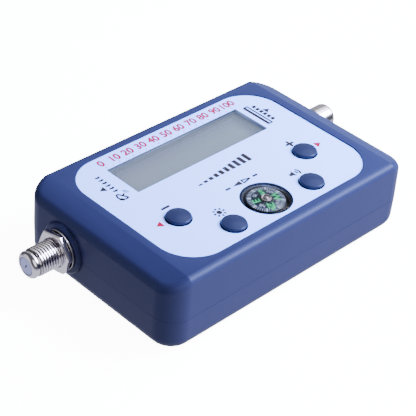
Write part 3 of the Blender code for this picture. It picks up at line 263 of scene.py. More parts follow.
@dataclass(frozen=True)
class Finish:
    """What every finish has: a colour, a roughness and a fine grain, with its sizes in millimetres."""

    name: str
    colour: Colour
    roughness: float = 0.4
    grain: float = 0.2
    relief: float = 0.004
    mottle: float = 0.04
    mottle_size: float = 9.0
    roughness_spread: float = 0.06

    def sockets(self) -> dict[str, Any]:
        """Values for the shader's own sockets; each kind of finish has its own."""
        return {}

    def material(self) -> bpy.types.Material:
        """The finish's material, made on first use.

        Returns:
            The material.
        """
        label = f"fine_{self.name}"
        found = bpy.data.materials.get(label)
        if found:
            return found
        made = bpy.data.materials.new(label)
        made.use_nodes = True
        skin = Skin(made.node_tree)
        inputs = made.node_tree.nodes["Principled BSDF"].inputs
        for socket, value in self.sockets().items():
            inputs[socket].default_value = value
        looks = {"Base Color": self.paint(skin), "Roughness": self.polish(skin), "Normal": self.surface(skin)}
        for socket, value in looks.items():
            skin.tree.links.new(value, inputs[socket])
        return made

    def shade(self, share: float) -> Colour:
        """The finish's colour made lighter or darker by a share."""
        return tuple(min(1.0, channel * (1 + share)) for channel in self.colour)

    def paint(self, skin: Skin) -> Socket:
        """The finish's colour, with a faint cloud."""
        return skin.tint(skin.noise(self.mottle_size, 3.0), self.shade(-self.mottle), self.shade(self.mottle))

    def polish(self, skin: Skin) -> Socket:
        """The finish's roughness, with a faint spread.

        Args:
            skin: the material's tree.

        Returns:
            The roughness.
        """
        half = self.roughness_spread / 2
        cloud = skin.noise(self.mottle_size / 3)
        return skin.ramp(cloud, 0.0, 1.0, self.roughness - half, self.roughness + half)

    def surface(self, skin: Skin) -> Socket:
        """The finish's fine relief."""
        return skin.bump(skin.noise(self.grain), self.relief)


@dataclass(frozen=True)
class MouldedPlastic(Finish):
    """Moulded plastic with a fine spark-eroded texture."""

    specular: float = 0.5
    gloss: Colour = (1.0, 1.0, 1.0)

    def sockets(self) -> dict[str, Any]:
        """Gloss of the moulded skin."""
        return {"Specular IOR Level": self.specular, "Specular Tint": (*self.gloss, 1.0)}


@dataclass(frozen=True)
class PlatedMetal(Finish):
    """Bright metal with fine marks of turning or drawing."""

    marks: float = 0.12
    along: Point3 = (1.0, 0.12, 0.12)
    marks_strength: float = 0.6

    def sockets(self) -> dict[str, Any]:
        """A full metal."""
        return {"Metallic": 1.0}

    def surface(self, skin: Skin) -> Socket:
        """Fine lines across the direction of the marks."""
        stretched = skin.add("ShaderNodeMapping", {"Vector": skin.place, "Scale": self.along}).outputs[0]
        return skin.bump(skin.noise(self.marks, 3.0, stretched), self.relief, self.marks_strength)


@dataclass(frozen=True)
class ThreadMetal(PlatedMetal):
    """Plated metal of a thread, with painted shade in its roots."""

    axis_y: float = 14.5 * MM
    axis_z: float = 12.9 * MM
    root: float = 4.36 * MM
    crest: float = 4.7 * MM
    # Painted shade in the thread's roots, as a share of the colour.
    painted_root_shade: float = -0.8

    def paint(self, skin: Skin) -> Socket:
        """Painted shade, dark in the roots and bright on the crests, by the distance from the thread's axis.

        Args:
            skin: the material's tree.

        Returns:
            The colour.
        """
        place = skin.split(skin.place)
        pairs = ((place[1], self.axis_y), (place[2], self.axis_z))
        squares = [skin.sum("POWER", skin.sum("SUBTRACT", part, axis), 2.0) for part, axis in pairs]
        height = skin.ramp(skin.sum("SQRT", skin.sum("ADD", *squares)), self.root, self.crest)
        # Painted shade in the roots, full colour on the crests.
        return skin.tint(height, self.shade(self.painted_root_shade), self.colour)


@dataclass(frozen=True)
class ClearPlastic(Finish):
    """Clear plastic, or the liquid it holds, that bends the light."""

    ior: float = 1.46
    gloss: float = 0.12

    def sockets(self) -> dict[str, Any]:
        """Full transmission, with a faint gloss."""
        tint = (self.gloss, self.gloss, self.gloss, 1.0)
        return {"Transmission Weight": 1.0, "IOR": self.ior, "Specular Tint": tint}


@dataclass(frozen=True)
class WindowSheet(Finish):
    """A thin clear sheet that mostly lets the light through."""

    alpha: float = 0.08
    specular: float = 0.4

    def sockets(self) -> dict[str, Any]:
        """See-through, with a soft gloss."""
        return {"Alpha": self.alpha, "Specular IOR Level": self.specular}


@dataclass(frozen=True)
class DisplayGlass(Finish):
    """A display that is off: grey polariser film, with a painted shadow of the window's walls that makes it
    bluer and darker towards its back and right edges.
    """

    middle_y: float = 15.7 * MM
    half_length: float = 30 * MM
    half_width: float = 9 * MM
    # Where the painted shadow of the window's right wall begins and ends, as shares of the half length.
    shadow_right_from: float = 0.77
    shadow_right_to: float = 0.94
    # Strength and colour of the painted shadow along the back and right edges.
    painted_shadow_share: float = 0.8
    painted_shadow_colour: Colour = (0.009, 0.01, 0.02)

    def sockets(self) -> dict[str, Any]:
        """Hardly any gloss of its own, since the window lies over it."""
        return {"Specular IOR Level": 0.1}

    def paint(self, skin: Skin) -> Socket:
        """Film colour with a painted soft shadow along two edges, and a faint cloud.

        Args:
            skin: the material's tree.

        Returns:
            The colour.
        """
        place = skin.split(skin.place)
        across = skin.sum("DIVIDE", place[0], self.half_length)
        upward = skin.sum("DIVIDE", skin.sum("SUBTRACT", place[1], self.middle_y), self.half_width)
        # Painted shadow that the window's back and right walls cast on the film.
        shades = (skin.fade(upward, 0.0, 1.0), skin.fade(across, self.shadow_right_from, self.shadow_right_to))
        rim = skin.sum("MAXIMUM", *shades)
        cloud = skin.sum("MULTIPLY", skin.noise(self.mottle_size), self.mottle)
        factor = skin.sum("ADD", skin.sum("MULTIPLY", rim, self.painted_shadow_share), cloud)
        return skin.tint(factor, self.colour, self.painted_shadow_colour)


@dataclass(frozen=True)
class LiningPlastic(MouldedPlastic):
    """Grey plastic round the window, with painted light on its right end, which the light of the label
    reaches.
    """

    # Painted light on the right end of the lining: where it begins and ends, and how much paler.
    lit_from: float = 28.9 * MM
    lit_to: float = 29.15 * MM
    painted_light_share: float = 2.4

    def paint(self, skin: Skin) -> Socket:
        """The colour, with painted light towards the right end."""
        # Painted light: paler towards the right end.
        factor = skin.ramp(skin.split(skin.place)[0], self.lit_from, self.lit_to)
        return skin.tint(factor, self.colour, self.shade(self.painted_light_share))


@dataclass(frozen=True)
class BoardLaminate(Finish):
    """Green solder mask over woven glass, with lighter tracks."""

    cell: float = 6 * 1.27 * MM
    track_width: float = 0.06
    track_share: float = 0.3
    track_shade: float = 1.5

    def paint(self, skin: Skin) -> Socket:
        """Mask colour, with tracks along the borders of coarse cells.

        Args:
            skin: the material's tree.

        Returns:
            The colour.
        """
        inputs = {"Vector": skin.place, "Scale": 1 / self.cell, "Randomness": 0.6}
        cells = skin.add("ShaderNodeTexVoronoi", inputs, distance="CHEBYCHEV", feature="DISTANCE_TO_EDGE")
        near = skin.sum("LESS_THAN", cells.outputs["Distance"], self.track_width)
        factor = skin.sum("MULTIPLY", near, self.track_share)
        return skin.tint(factor, self.colour, self.shade(self.track_shade))


BLUE_GLOSS = (0.5, 0.64, 1.0)
CASE_BLUE = MouldedPlastic(
    "case_blue", (0.0148, 0.0166, 0.0465), 0.33, 0.28, 0.003, specular=0.14, gloss=BLUE_GLOSS
)
BUTTON_BLUE = MouldedPlastic(
    "button_blue", (0.0106, 0.0122, 0.0315), 0.22, 0.2, 0.0002, 0.03, specular=0.25, gloss=BLUE_GLOSS
)
LABEL_FILM = MouldedPlastic("label_film", (0.3, 0.44, 0.98), 0.3, 0.3, 0.001, 0.012, 14.0, specular=0.04)
INK_RED = MouldedPlastic("ink_red", (0.25, 0.001, 0.018), 0.5, 0.15, 0.001, 0.08, 2.0, specular=0.05)
INK_DARK = MouldedPlastic("ink_dark", (0.02, 0.0135, 0.0128), 0.5, 0.15, 0.001, 0.1, 2.0, specular=0.05)
CLEAR_WINDOW = WindowSheet("clear_window", (0.9, 0.93, 0.95), 0.08, 2.0, 0.0002, 0.01, alpha=0.04)
CLEAR_CAPSULE = ClearPlastic("clear_capsule", (0.97, 0.98, 1.0), 0.015, 3.0, 0.0002, 0.005, 9.0, 0.01)
DISPLAY = DisplayGlass("display_glass", (0.0355, 0.038, 0.0345), 0.35, 0.1, 0.0006, 0.05, 12.0)
BLACK_PLASTIC = MouldedPlastic("black_plastic", (0.009, 0.009, 0.011), 0.45, 0.2, 0.003, 0.2, specular=0.1)
CAPSULE_BLACK = MouldedPlastic("capsule_black", (0.006, 0.007, 0.011), 0.25, 0.2, 0.001, 0.2, specular=0.1)
CARD_BLACK = MouldedPlastic("card_black", (0.006, 0.006, 0.008), 0.5, 0.1, 0.002, 0.2, 1.0, specular=0.1)
CARD_WHITE = MouldedPlastic("card_white", (0.21, 0.222, 0.245), 0.5, 0.1, 0.001, 0.05, 1.0)
CARD_GREEN = MouldedPlastic("card_green", (0.0, 0.22, 0.055), 0.5, 0.1, 0.001, 0.05, 1.0)
WHITE_PLASTIC = MouldedPlastic("white_plastic", (0.46, 0.5, 0.66), 0.35, 0.3, 0.002, 0.03, specular=0.2)
INSULATOR_WHITE = MouldedPlastic("insulator_white", (0.36, 0.36, 0.5), 0.35, 0.3, 0.001, 0.03, specular=0.1)
SHELF_GREY = MouldedPlastic("shelf_grey", (0.011, 0.012, 0.017), 0.5, 0.2, 0.002, 0.1, specular=0.2)
# The gasket's dark grey is set to the shade seen in the window's opening, so its lining carries painted shade
# as well as its own grey.
GASKET_GREY = LiningPlastic("gasket_grey", (0.024, 0.028, 0.042), 0.5, 0.3, 0.002, 0.03, specular=0.2)
PINK_RUBBER = MouldedPlastic("pink_rubber", (0.52, 0.3, 0.31), 0.7, 0.15, 0.004, 0.08, 1.0)
NICKEL = PlatedMetal("nickel", (0.75, 0.71, 0.75), 0.14, relief=0.0012, mottle=0.03)
THREAD_NICKEL = ThreadMetal("thread_nickel", (0.79, 0.75, 0.79), 0.14, relief=0.0008, mottle=0.03)
NICKEL_RING = PlatedMetal("nickel_ring", (0.6, 0.58, 0.6), 0.34, relief=0.001, mottle=0.03)
BEARING_NICKEL = PlatedMetal("bearing_nickel", (0.42, 0.38, 0.39), 0.2, relief=0.001, mottle=0.03)
BRASS = PlatedMetal("brass", (0.62, 0.43, 0.17), 0.26, relief=0.001)
TINNED = PlatedMetal("tinned_steel", (0.6, 0.61, 0.62), 0.3, relief=0.001, marks=0.3)
SCREW_STEEL = PlatedMetal("screw_steel", (0.3, 0.3, 0.32), 0.33, relief=0.001)
MAGNET = PlatedMetal("magnet_grey", (0.13, 0.13, 0.14), 0.45, relief=0.003)
BOARD_GREEN = BoardLaminate("board_green", (0.018, 0.13, 0.055), 0.4, 0.25, 0.003, 0.1)


# Shapes


def mesh_from(form: bmesh.types.BMesh) -> Mesh:
    """Turn a bmesh into a mesh.

    Args:
        form: the bmesh, which is freed.

    Returns:
        The mesh.
    """
    mesh = bpy.data.meshes.new("shape")
    form.to_mesh(mesh)
    form.free()
    return mesh


def joined(meshes: Iterable[Mesh]) -> Mesh:
    """Several meshes as one.

    Args:
        meshes: the meshes.

    Returns:
        One mesh that holds them all.
    """
    form = bmesh.new()
    for mesh in meshes:
        form.from_mesh(mesh)
    return mesh_from(form)


def smooth(mesh: Mesh) -> Mesh:
    """Shade a mesh smooth, with its real edges sharp.

    Args:
        mesh: the mesh.

    Returns:
        The same mesh.
    """
    mesh.shade_smooth()
    mesh.set_sharp_from_angle(angle=SHARP_ANGLE)
    return mesh


def settled(item: bpy.types.Object) -> Mesh:
    """The mesh that an object's curve or modifiers give.

    Args:
        item: the object, which is removed.

    Returns:
        The finished mesh.
    """
    if not item.users_collection:
        bpy.context.scene.collection.objects.link(item)
    graph = bpy.context.evaluated_depsgraph_get()
    mesh = bpy.data.meshes.new_from_object(item.evaluated_get(graph))
    bpy.data.objects.remove(item, do_unlink=True)
    return mesh


def moved(mesh: Mesh, place: Point3 = (0.0, 0.0, 0.0), turn: float = 0.0) -> Mesh:
    """Turn a mesh about the z axis and then shift it."""
    mesh.transform(Matrix.Translation(place) @ Matrix.Rotation(turn, 4, "Z"))
    return mesh


def extruded(curve: bpy.types.Curve, low: float, high: float) -> Mesh:
    """A closed mesh from a flat curve, between two heights.

    Args:
        curve: the curve.
        low: the height of the underside.
        high: the height of the top.

    Returns:
        The mesh, with its faces outwards.
    """
    curve.extrude = (high - low) / 2
    form = bmesh.new()
    form.from_mesh(settled(bpy.data.objects.new("curve", curve)))
    bmesh.ops.remove_doubles(form, verts=form.verts, dist=JOIN_DISTANCE)
    bmesh.ops.recalc_face_normals(form, faces=form.faces)
    return moved(mesh_from(form), (0.0, 0.0, (low + high) / 2))


def arc(radius: float, start: float, end: float, steps: int, x: float = 0.0, y: float = 0.0) -> Outline:
    """Points of an arc round x and y between two angles, both ends included."""
    angles = [start + (end - start) * step / steps for step in range(steps + 1)]
    return [(x + radius * math.cos(angle), y + radius * math.sin(angle)) for angle in angles]


def circle(radius: float, x: float = 0.0, y: float = 0.0, sides: int = 64) -> Outline:
    """A closed round outline."""
    return arc(radius, 0.0, math.tau, sides, x, y)[:-1]


def box_outline(length: float, width: float, x: float = 0.0, y: float = 0.0) -> Outline:
    """A closed rectangular outline round x and y."""
    return [(x + sx * length / 2, y + sy * width / 2) for sx, sy in ((1, 1), (-1, 1), (-1, -1), (1, -1))]


def rounded_outline(length: float, width: float, corner: float, y: float = 0.0, steps: int = 16) -> Outline:
    """A closed rectangular outline with round corners.

    Args:
        length: its size along x.
        width: its size along y.
        corner: the corners' radius.
        y: its centre.
        steps: pieces of each corner.

    Returns:
        Its points.
    """
    points: Outline = []
    for quarter, (sx, sy) in enumerate(((1, 1), (-1, 1), (-1, -1), (1, -1))):
        start = quarter * math.pi / 2
        middle = (sx * (length / 2 - corner), y + sy * (width / 2 - corner))
        points += arc(corner, start, start + math.pi / 2, steps, *middle)
    return points


def stroke(points: Sequence[Point2], width: float) -> Outline:
    """A closed outline round a line, as a pen of even width would draw it.

    Args:
        points: the line's points.
        width: the pen's width.

    Returns:
        The outline's points.
    """
    sides: tuple[Outline, Outline] = ([], [])
    for index, (x, y) in enumerate(points):
        before = Vector(points[max(index - 1, 0)])
        after = Vector(points[min(index + 1, len(points) - 1)])
        along = (after - before).normalized()
        for side, sign in zip(sides, (1, -1)):
            side.append((x - sign * along.y * width / 2, y + sign * along.x * width / 2))
    return sides[0] + sides[1][::-1]


def plate(outlines: Sequence[Outline], low: float, high: float) -> Mesh:
    """A flat plate between two heights.

    Args:
        outlines: closed outlines; inner ones are holes.
        low: the height of its underside.
        high: the height of its top.

    Returns:
        A closed mesh.
    """
    curve = bpy.data.curves.new("plate", "CURVE")
    curve.dimensions = "2D"
    curve.fill_mode = "BOTH"
    for outline in outlines:
        spline = curve.splines.new("POLY")
        spline.points.add(len(outline) - 1)
        for point, (x, y) in zip(spline.points, outline):
            point.co = (x, y, 0.0, 1.0)
        spline.use_cyclic_u = True
    return extruded(curve, low, high)


def lathe(profile: Sequence[Point2], sides: int = 64, closed: bool = False) -> Mesh:
    """Turn a profile round the z axis.

    Args:
        profile: points of (radius, height); a radius of zero gives a pole.
        sides: sides of each ring.
        closed: whether the last point joins the first.

    Returns:
        A closed mesh with its faces outwards.
    """
    form = bmesh.new()
    rings: list[list[bmesh.types.BMVert]] = []
    for radius, height in profile:
        if radius == 0.0:
            rings.append([form.verts.new((0.0, 0.0, height))] * sides)
        else:
            rings.append([form.verts.new((x, y, height)) for x, y in circle(radius, sides=sides)])
    pairs = list(zip(rings, rings[1:]))
    if closed:
        pairs.append((rings[-1], rings[0]))
    for upper, lower in pairs:
        for index in range(sides):
            following = (index + 1) % sides
            corners = [upper[index], upper[following], lower[following], lower[index]]
            form.faces.new(list(dict.fromkeys(corners)))
    bmesh.ops.recalc_face_normals(form, faces=form.faces)
    return smooth(mesh_from(form))


def rod(radius: float, low: float, high: float, sides: int) -> Mesh:
    """A round rod between two heights, for a post or a hole."""
    return lathe([(0.0, high), (radius, high), (radius, low), (0.0, low)], sides)


def block(low: Point3, high: Point3, bevel: float = 0.0) -> Mesh:
    """A box between two corners.

    Args:
        low: its lowest corner.
        high: its highest corner.
        bevel: the radius of its edges.

    Returns:
        A closed mesh.
    """
    form = bmesh.new()
    bmesh.ops.create_cube(form, size=1.0)
    size = Vector(high) - Vector(low)
    middle = Matrix.Translation((Vector(low) + Vector(high)) / 2)
    bmesh.ops.transform(form, matrix=middle @ Matrix.Diagonal((*size, 1.0)), verts=form.verts)
    if bevel:
        bmesh.ops.bevel(form, geom=form.edges[:], offset=bevel, segments=2, profile=0.5, affect="EDGES")
    return smooth(mesh_from(form))


def crown(radius: float, edge: float, rise: float, steps: int) -> Outline:
    """Profile points of a shallow dome, from its middle to its edge, which lies at the edge's height."""
    reaches = [radius * step / steps for step in range(steps + 1)]
    return [(reach, edge + rise * (1 - (reach / radius) ** 2)) for reach in reaches]


def rounded_corner(radius: float, height: float, rounding: float, steps: int) -> Outline:
    """Profile points of a convex upper corner, from the top at its height round to the side."""
    return arc(rounding, math.pi / 2, 0.0, steps, radius - rounding, height - rounding)


def lettering(text: str, height: float, thickness: float, bold: float = 0.0) -> Mesh:
    """Plain characters, centred on the origin and lying on z = 0.

    Args:
        text: the characters.
        height: the height of a capital.
        thickness: how far they stand up.
        bold: how far their strokes are widened, by copies shifted round a circle.

    Returns:
        Their mesh.
    """
    curve = bpy.data.curves.new("lettering", "FONT")
    curve.body = text
    curve.align_x = "CENTER"
    curve.align_y = "CENTER"
    curve.size = height / CAPITAL_SHARE
    curve.resolution_u = 4
    plain = extruded(curve, 0.0, thickness)
    if not bold:
        return plain
    lift = thickness / 40
    shifts = [(x, y, lift * count) for count, (x, y) in enumerate(circle(bold, sides=8))]
    return joined(moved(plain.copy(), shift) for shift in shifts)


class Sculpt:
    """A mesh under work, with the modifiers that shape it."""

    def __init__(self, mesh: Mesh) -> None:
        """Start from a mesh.

        Args:
            mesh: the starting mesh.
        """
        self.item = bpy.data.objects.new("sculpt", mesh)
        bpy.context.scene.collection.objects.link(self.item)
        self.tools: list[bpy.types.Object] = []

    def step(self, kind: str, **settings: Any) -> Sculpt:
        """Add one modifier.

        Args:
            kind: the modifier's type.
            settings: its attributes.

        Returns:
            This sculpt, for the next step.
        """
        made = self.item.modifiers.new(kind.lower(), kind)
        for name, value in settings.items():
            setattr(made, name, value)
        return self

    def cut(self, *meshes: Mesh, operation: str = "DIFFERENCE") -> Sculpt:
        """Cut shapes away, or join or intersect them.

        Args:
            meshes: the other shapes.
            operation: the Boolean's operation.

        Returns:
            This sculpt, for the next step.
        """
        for mesh in meshes:
            tool = bpy.data.objects.new("tool", mesh)
            bpy.context.scene.collection.objects.link(tool)
            self.tools.append(tool)
            self.step("BOOLEAN", operation=operation, solver="EXACT", object=tool)
        return self

    def join(self, *meshes: Mesh) -> Sculpt:
        """Join shapes to this one."""
        return self.cut(*meshes, operation="UNION")

    def done(self) -> Mesh:
        """Finish the work.

        Returns:
            The finished mesh.
        """
        mesh = settled(self.item)
        for tool in self.tools:
            bpy.data.objects.remove(tool, do_unlink=True)
        return mesh


@dataclass
class Bench:
    """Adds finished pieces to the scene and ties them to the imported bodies."""

    count: int = 0

    def piece(
        self,
        name: str,
        mesh: Mesh,
        finish: Finish,
        replaces: Sequence[str] = (),
        body: str = "case",
    ) -> bpy.types.Object:
        """Add one piece.

        Args:
            name: the piece's name.
            mesh: its mesh, already in place.
            finish: its finish.
            replaces: the CAD nodes that it stands for.
            body: the body that it rides on.

        Returns:
            The new object.
        """
        mesh.name = name
        mesh.materials.clear()
        mesh.materials.append(finish.material())
        item = bpy.data.objects.new(name, mesh)
        bpy.context.scene.collection.objects.link(item)
        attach(item, body)
        if replaces:
            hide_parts(*replaces)
        self.count += 1
        LOG.info("piece %s on %s: %d faces", name, body, len(mesh.polygons))
        return item

    def dress(self, finish: Finish, *nodes: str) -> None:
        """Give CAD nodes that stay visible a better material.

        Args:
            finish: the finish.
            nodes: the nodes' names.
        """
        for name in nodes:
            item = frame["nodes"][name]
            item.data.materials.clear()
            item.data.materials.append(finish.material())
            LOG.info("node %s dressed in %s", name, finish.name)


# The case


@dataclass
class Layout:
    """Places on the top that several pieces share."""

    window_length: float = 58.7 * MM
    window_width: float = 15.4 * MM
    window_y: float = 15.7 * MM
    window_ledge: float = 1.0 * MM
    level_spacing: float = 57.4 * MM
    level_y: float = -9.7 * MM
    function_spacing: float = 35.4 * MM
    function_y: float = -22.9 * MM
    button_hole: float = 4.4 * MM
    compass_y: float = -19.6 * MM
    compass_hole: float = 8.6 * MM
    label_length: float = 86.7 * MM
    label_width: float = 60.0 * MM
    label_corner: float = 13.1 * MM
    label_y: float = 0.2 * MM
    screw_x: float = 46.2 * MM
    screw_y: float = 26.5 * MM
    gap: float = 0.3 * MM

    def buttons(self) -> dict[str, Point2]:
        """Where the buttons are.

        Returns:
            The place of each button by its name.
        """
        level, function = self.level_spacing / 2, self.function_spacing / 2
        return {
            "level_down": (-level, self.level_y),
            "level_up": (level, self.level_y),
            "light": (-function, self.function_y),
            "buzzer": (function, self.function_y),
        }

    def window(self, grow: float = 0.0) -> Outline:
        """The window's outline, grown outwards."""
        return box_outline(self.window_length + 2 * grow, self.window_width + 2 * grow, 0.0, self.window_y)

    def label(self, grow: float, steps: int) -> Outline:
        """The label's outline, grown outwards."""
        size = (self.label_length + 2 * grow, self.label_width + 2 * grow)
        return rounded_outline(*size, self.label_corner + grow, self.label_y, steps)


@dataclass
class Ports:
    """The two ports' shared axis and sizes, and their detailed pieces."""

    y: float = 14.5 * MM
    height: float = 12.9 * MM
    tip: float = 69.0 * MM
    thread_radius: float = 4.76 * MM
    thread_depth: float = 0.44 * MM
    thread_start: float = 52.3 * MM
    thread_wall: float = 0.4 * MM
    pitch: float = 1.0 * MM
    groove: float = 0.45 * MM
    steps_per_turn: int = 12
    thread_sides: int = 72
    collar_radius: float = 4.6 * MM
    collar_length: float = 1.7 * MM
    sleeve_length: float = 7.6 * MM
    nose: float = 1.45 * MM
    chamfer: float = 0.25 * MM
    bore: float = 3.1 * MM
    barrel_radius: float = 4.2 * MM
    flange_radius: float = 6.4 * MM
    flange_face: float = 51.9 * MM
    flange_thickness: float = 1.7 * MM
    boss_radius: float = 8.9 * MM
    boss_height: float = 1.2 * MM
    boss_rounding: float = 1.15 * MM
    nut_flats: float = 13.0 * MM
    nut_chamfer: float = 0.1 * MM
    nut_drop: float = 0.4 * MM
    nut_edge: float = 0.12 * MM
    nut_bore: float = 5.0 * MM
    hex_turn: float = math.radians(39)
    washer_radius: float = 7.0 * MM
    washer_rim: float = 0.13 * MM
    washer_cup: float = 0.07 * MM
    hole: float = 0.3 * MM
    hole_depth: float = 1.2 * MM
    socket: float = 1.1 * MM
    slot_length: float = 1.7 * MM
    slot_width: float = 0.48 * MM
    slot_depth: float = 0.8 * MM
    slot_turn: float = math.radians(60)

    def placed(self, mesh: Mesh, end: End) -> Mesh:
        """Lay a mesh that was made along z on a port's axis.

        Args:
            mesh: the mesh, whose height is its distance from the middle plane.
            end: which end it goes to.

        Returns:
            The same mesh.
        """
        mesh.transform(Matrix.Rotation(end.value * math.pi / 2, 4, "Y"))
        mesh.transform(Matrix.Translation((0.0, self.y, self.height)))
        return mesh

    def reach(self, kind: str, end: End) -> tuple[float, float]:
        """How near and how far a port's solid lies from the middle plane."""
        low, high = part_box(f"port_{kind}_{end.word}")
        return min(abs(low.x), abs(high.x)), max(abs(low.x), abs(high.x))

    def plain_length(self, end: End) -> float:
        """How much of a port is smooth: the left one has a short collar, the right one a sleeve."""
        return self.collar_length if end is End.LEFT else self.sleeve_length

    def boss(self, inner: float, wall_x: float) -> Mesh:
        """The raised round boss of an end wall.

        Args:
            inner: how far its hidden inner face lies from the middle plane.
            wall_x: how far the end wall lies from it.

        Returns:
            A closed mesh along z.
        """
        face = wall_x + self.boss_height
        profile = [(0.0, face)] + rounded_corner(self.boss_radius, face, self.boss_rounding, 6)
        return lathe(profile + [(self.boss_radius, inner), (0.0, inner)], 96)

    def body(self, end: End) -> Mesh:
        """The turned body with its nose, collar, shank and inner flange.

        Args:
            end: which port it is for.

        Returns:
            A closed mesh along z.
        """
        back = self.reach("body", end)[0]
        collar_end = self.tip - self.plain_length(end)
        root = self.thread_radius - self.thread_depth
        flange_back = self.flange_face - self.flange_thickness
        profile = [(self.bore, self.tip - self.chamfer), (self.bore + self.chamfer / 2, self.tip)]
        profile += rounded_corner(self.collar_radius, self.tip, self.nose, 10)
        profile += [(self.collar_radius, collar_end + self.chamfer)]
        profile += [(self.collar_radius - self.chamfer, collar_end), (root, collar_end)]
        profile += [(root, self.flange_face), (self.flange_radius, self.flange_face)]
        profile += [(self.flange_radius, flange_back), (self.barrel_radius, flange_back)]
        return lathe(profile + [(self.barrel_radius, back), (self.bore, back)], 72, closed=True)

    def thread(self, end: End) -> Mesh:
        """The thread: a closed sleeve whose outer skin rises and falls along a helix.

        Args:
            end: which port it is for.

        Returns:
            A closed mesh along z.
        """
        root = self.thread_radius - self.thread_depth
        first = self.thread_start
        last = self.tip - self.plain_length(end) - self.groove
        rings = round((last - first) / self.pitch * self.steps_per_turn)
        skin = [(root, last + (first - last) * ring / rings) for ring in range(rings + 1)]
        inner = root - self.thread_wall
        sleeve = lathe(skin + [(inner, first), (inner, last)], self.thread_sides, closed=True)
        sizes: Sizes = {
            "Root radius": root,
            "Depth": self.thread_depth,
            "Pitch": self.pitch,
            "Start": first,
            "End": last,
            "Run out": self.pitch,
            "Root share": 0.05,
            "Crest share": 0.42,
            "Skin share": 0.97,
        }
        rule = RuleTree("thread rule", sizes)
        size = rule.size
        across, upward, along = rule.split(rule.add("GeometryNodeInputPosition").outputs[0])
        angle = rule.sum("ARCTAN2", upward, across)
        turns = rule.sum("DIVIDE", along, size["Pitch"])
        phase = rule.sum("FRACT", rule.sum("SUBTRACT", turns, rule.sum("DIVIDE", angle, math.tau)))
        slant = rule.sum("SUBTRACT", 1.0, rule.sum("ABSOLUTE", rule.sum("MULTIPLY_ADD", phase, 2.0, -1.0)))
        height = rule.ramp(slant, size["Root share"], rule.sum("SUBTRACT", 1.0, size["Crest share"]))
        ends = (rule.sum("SUBTRACT", along, size["Start"]), rule.sum("SUBTRACT", size["End"], along))
        fade = rule.ramp(rule.sum("MINIMUM", *ends), 0.0, size["Run out"])
        lift = rule.sum("MULTIPLY", rule.sum("MULTIPLY", height, fade), size["Depth"])
        place = rule.vector(*rule.polar(angle, rule.sum("ADD", size["Root radius"], lift)), along)
        reach = rule.point("LENGTH", {0: rule.vector(across, upward)})["Value"]
        within = rule.sum("MULTIPLY", size["Root radius"], size["Skin share"])
        is_skin = rule.sum("GREATER_THAN", reach, within)
        inputs = {"Geometry": size["Geometry"], "Selection": is_skin, "Position": place}
        return rule.grow(rule.add("GeometryNodeSetPosition", inputs).outputs[0], THREAD_NICKEL, sleeve)

    def nut(self, end: End) -> Mesh:
        """A hexagon nut, chamfered on both faces, with its bore.

        Args:
            end: which port it is for.

        Returns:
            A closed mesh along z.
        """
        near, far = self.reach("nut", end)
        corner = self.nut_flats / math.sqrt(3)
        hexagon = moved(plate([circle(corner, sides=6)], near, far), turn=self.hex_turn)
        edge = self.nut_flats / 2 + self.nut_chamfer
        outer = corner + self.nut_drop
        profile = [(0.0, far), (edge, far), (outer, far - self.nut_drop), (outer, near + self.nut_drop)]
        work = Sculpt(hexagon).cut(lathe(profile + [(edge, near), (0.0, near)], 72), operation="INTERSECT")
        work.cut(rod(self.nut_bore, near - MM, far + MM, 72))
        limit = math.radians(25)
        work.step("BEVEL", width=self.nut_edge, segments=2, limit_method="ANGLE", angle_limit=limit)
        return smooth(work.done())

    def washer(self, end: End) -> tuple[Mesh, Mesh]:
        """A cupped washer, with a thin shiny rim round a dark sealing ring.

        Args:
            end: which port it is for.

        Returns:
            The washer and the sealing ring, along z.
        """
        near, far = self.reach("washer", end)
        inner = self.nut_bore
        lip = self.washer_radius - self.washer_rim
        floor = far - 2 * self.washer_cup
        profile = [(lip, far)] + rounded_corner(self.washer_radius, far, 0.06 * MM, 4)
        profile += [(self.washer_radius, near), (inner, near), (inner, floor), (lip, floor)]
        outer = lip - 0.02 * MM
        top = far - self.washer_cup
        seal = [(outer, top), (outer, floor), (inner, floor), (inner, top)]
        return lathe(profile, 96, closed=True), lathe(seal, 96, closed=True)

    def insulator(self, end: End) -> Mesh:
        """The pale insulator in the mouth, with a slot across its hole.

        Args:
            end: which port it is for.

        Returns:
            A closed mesh along z.
        """
        back, front = self.reach("insulator", end)
        outer = self.bore - 0.22 * MM
        soft = 0.05 * MM
        deep = front - self.hole_depth
        profile = rounded_corner(outer, front, 2 * soft, 4) + [(outer, back), (self.socket, back)]
        profile += [(self.socket, deep), (self.hole, deep)]
        profile += [(self.hole, front - soft), (self.hole + soft, front)]
        half_width, half_length = self.slot_width / 2, self.slot_length / 2
        low = (-half_width, -half_length, front - self.slot_depth)
        slot = moved(block(low, (half_width, half_length, front + MM)), turn=self.slot_turn)
        return smooth(Sculpt(lathe(profile, 64, closed=True)).cut(slot).done())

    def build(self, bench: Bench) -> None:
        """Make both ports.

        Args:
            bench: where the pieces go.
        """
        for end in End:
            washer, seal = self.washer(end)
            rows = (
                ("body_fine", self.body(end), NICKEL, "nickel", "body"),
                ("thread", smooth(self.thread(end)), THREAD_NICKEL, "nickel", None),
                ("nut_fine", self.nut(end), NICKEL, "nickel", "nut"),
                ("washer_fine", washer, NICKEL_RING, "nickel", "washer"),
                ("seal", seal, BLACK_PLASTIC, "black_plastic", None),
                ("insulator_fine", self.insulator(end), INSULATOR_WHITE, "white_plastic", "insulator"),
            )
            for kind, mesh, finish, slot, node in rows:
                nodes = [f"port_{node}_{end.word}"] if node else ()
                bench.piece(f"port_{kind}_{end.word}", self.placed(mesh, end), finish, nodes)
            bench.dress(BRASS, f"port_contact_{end.word}")


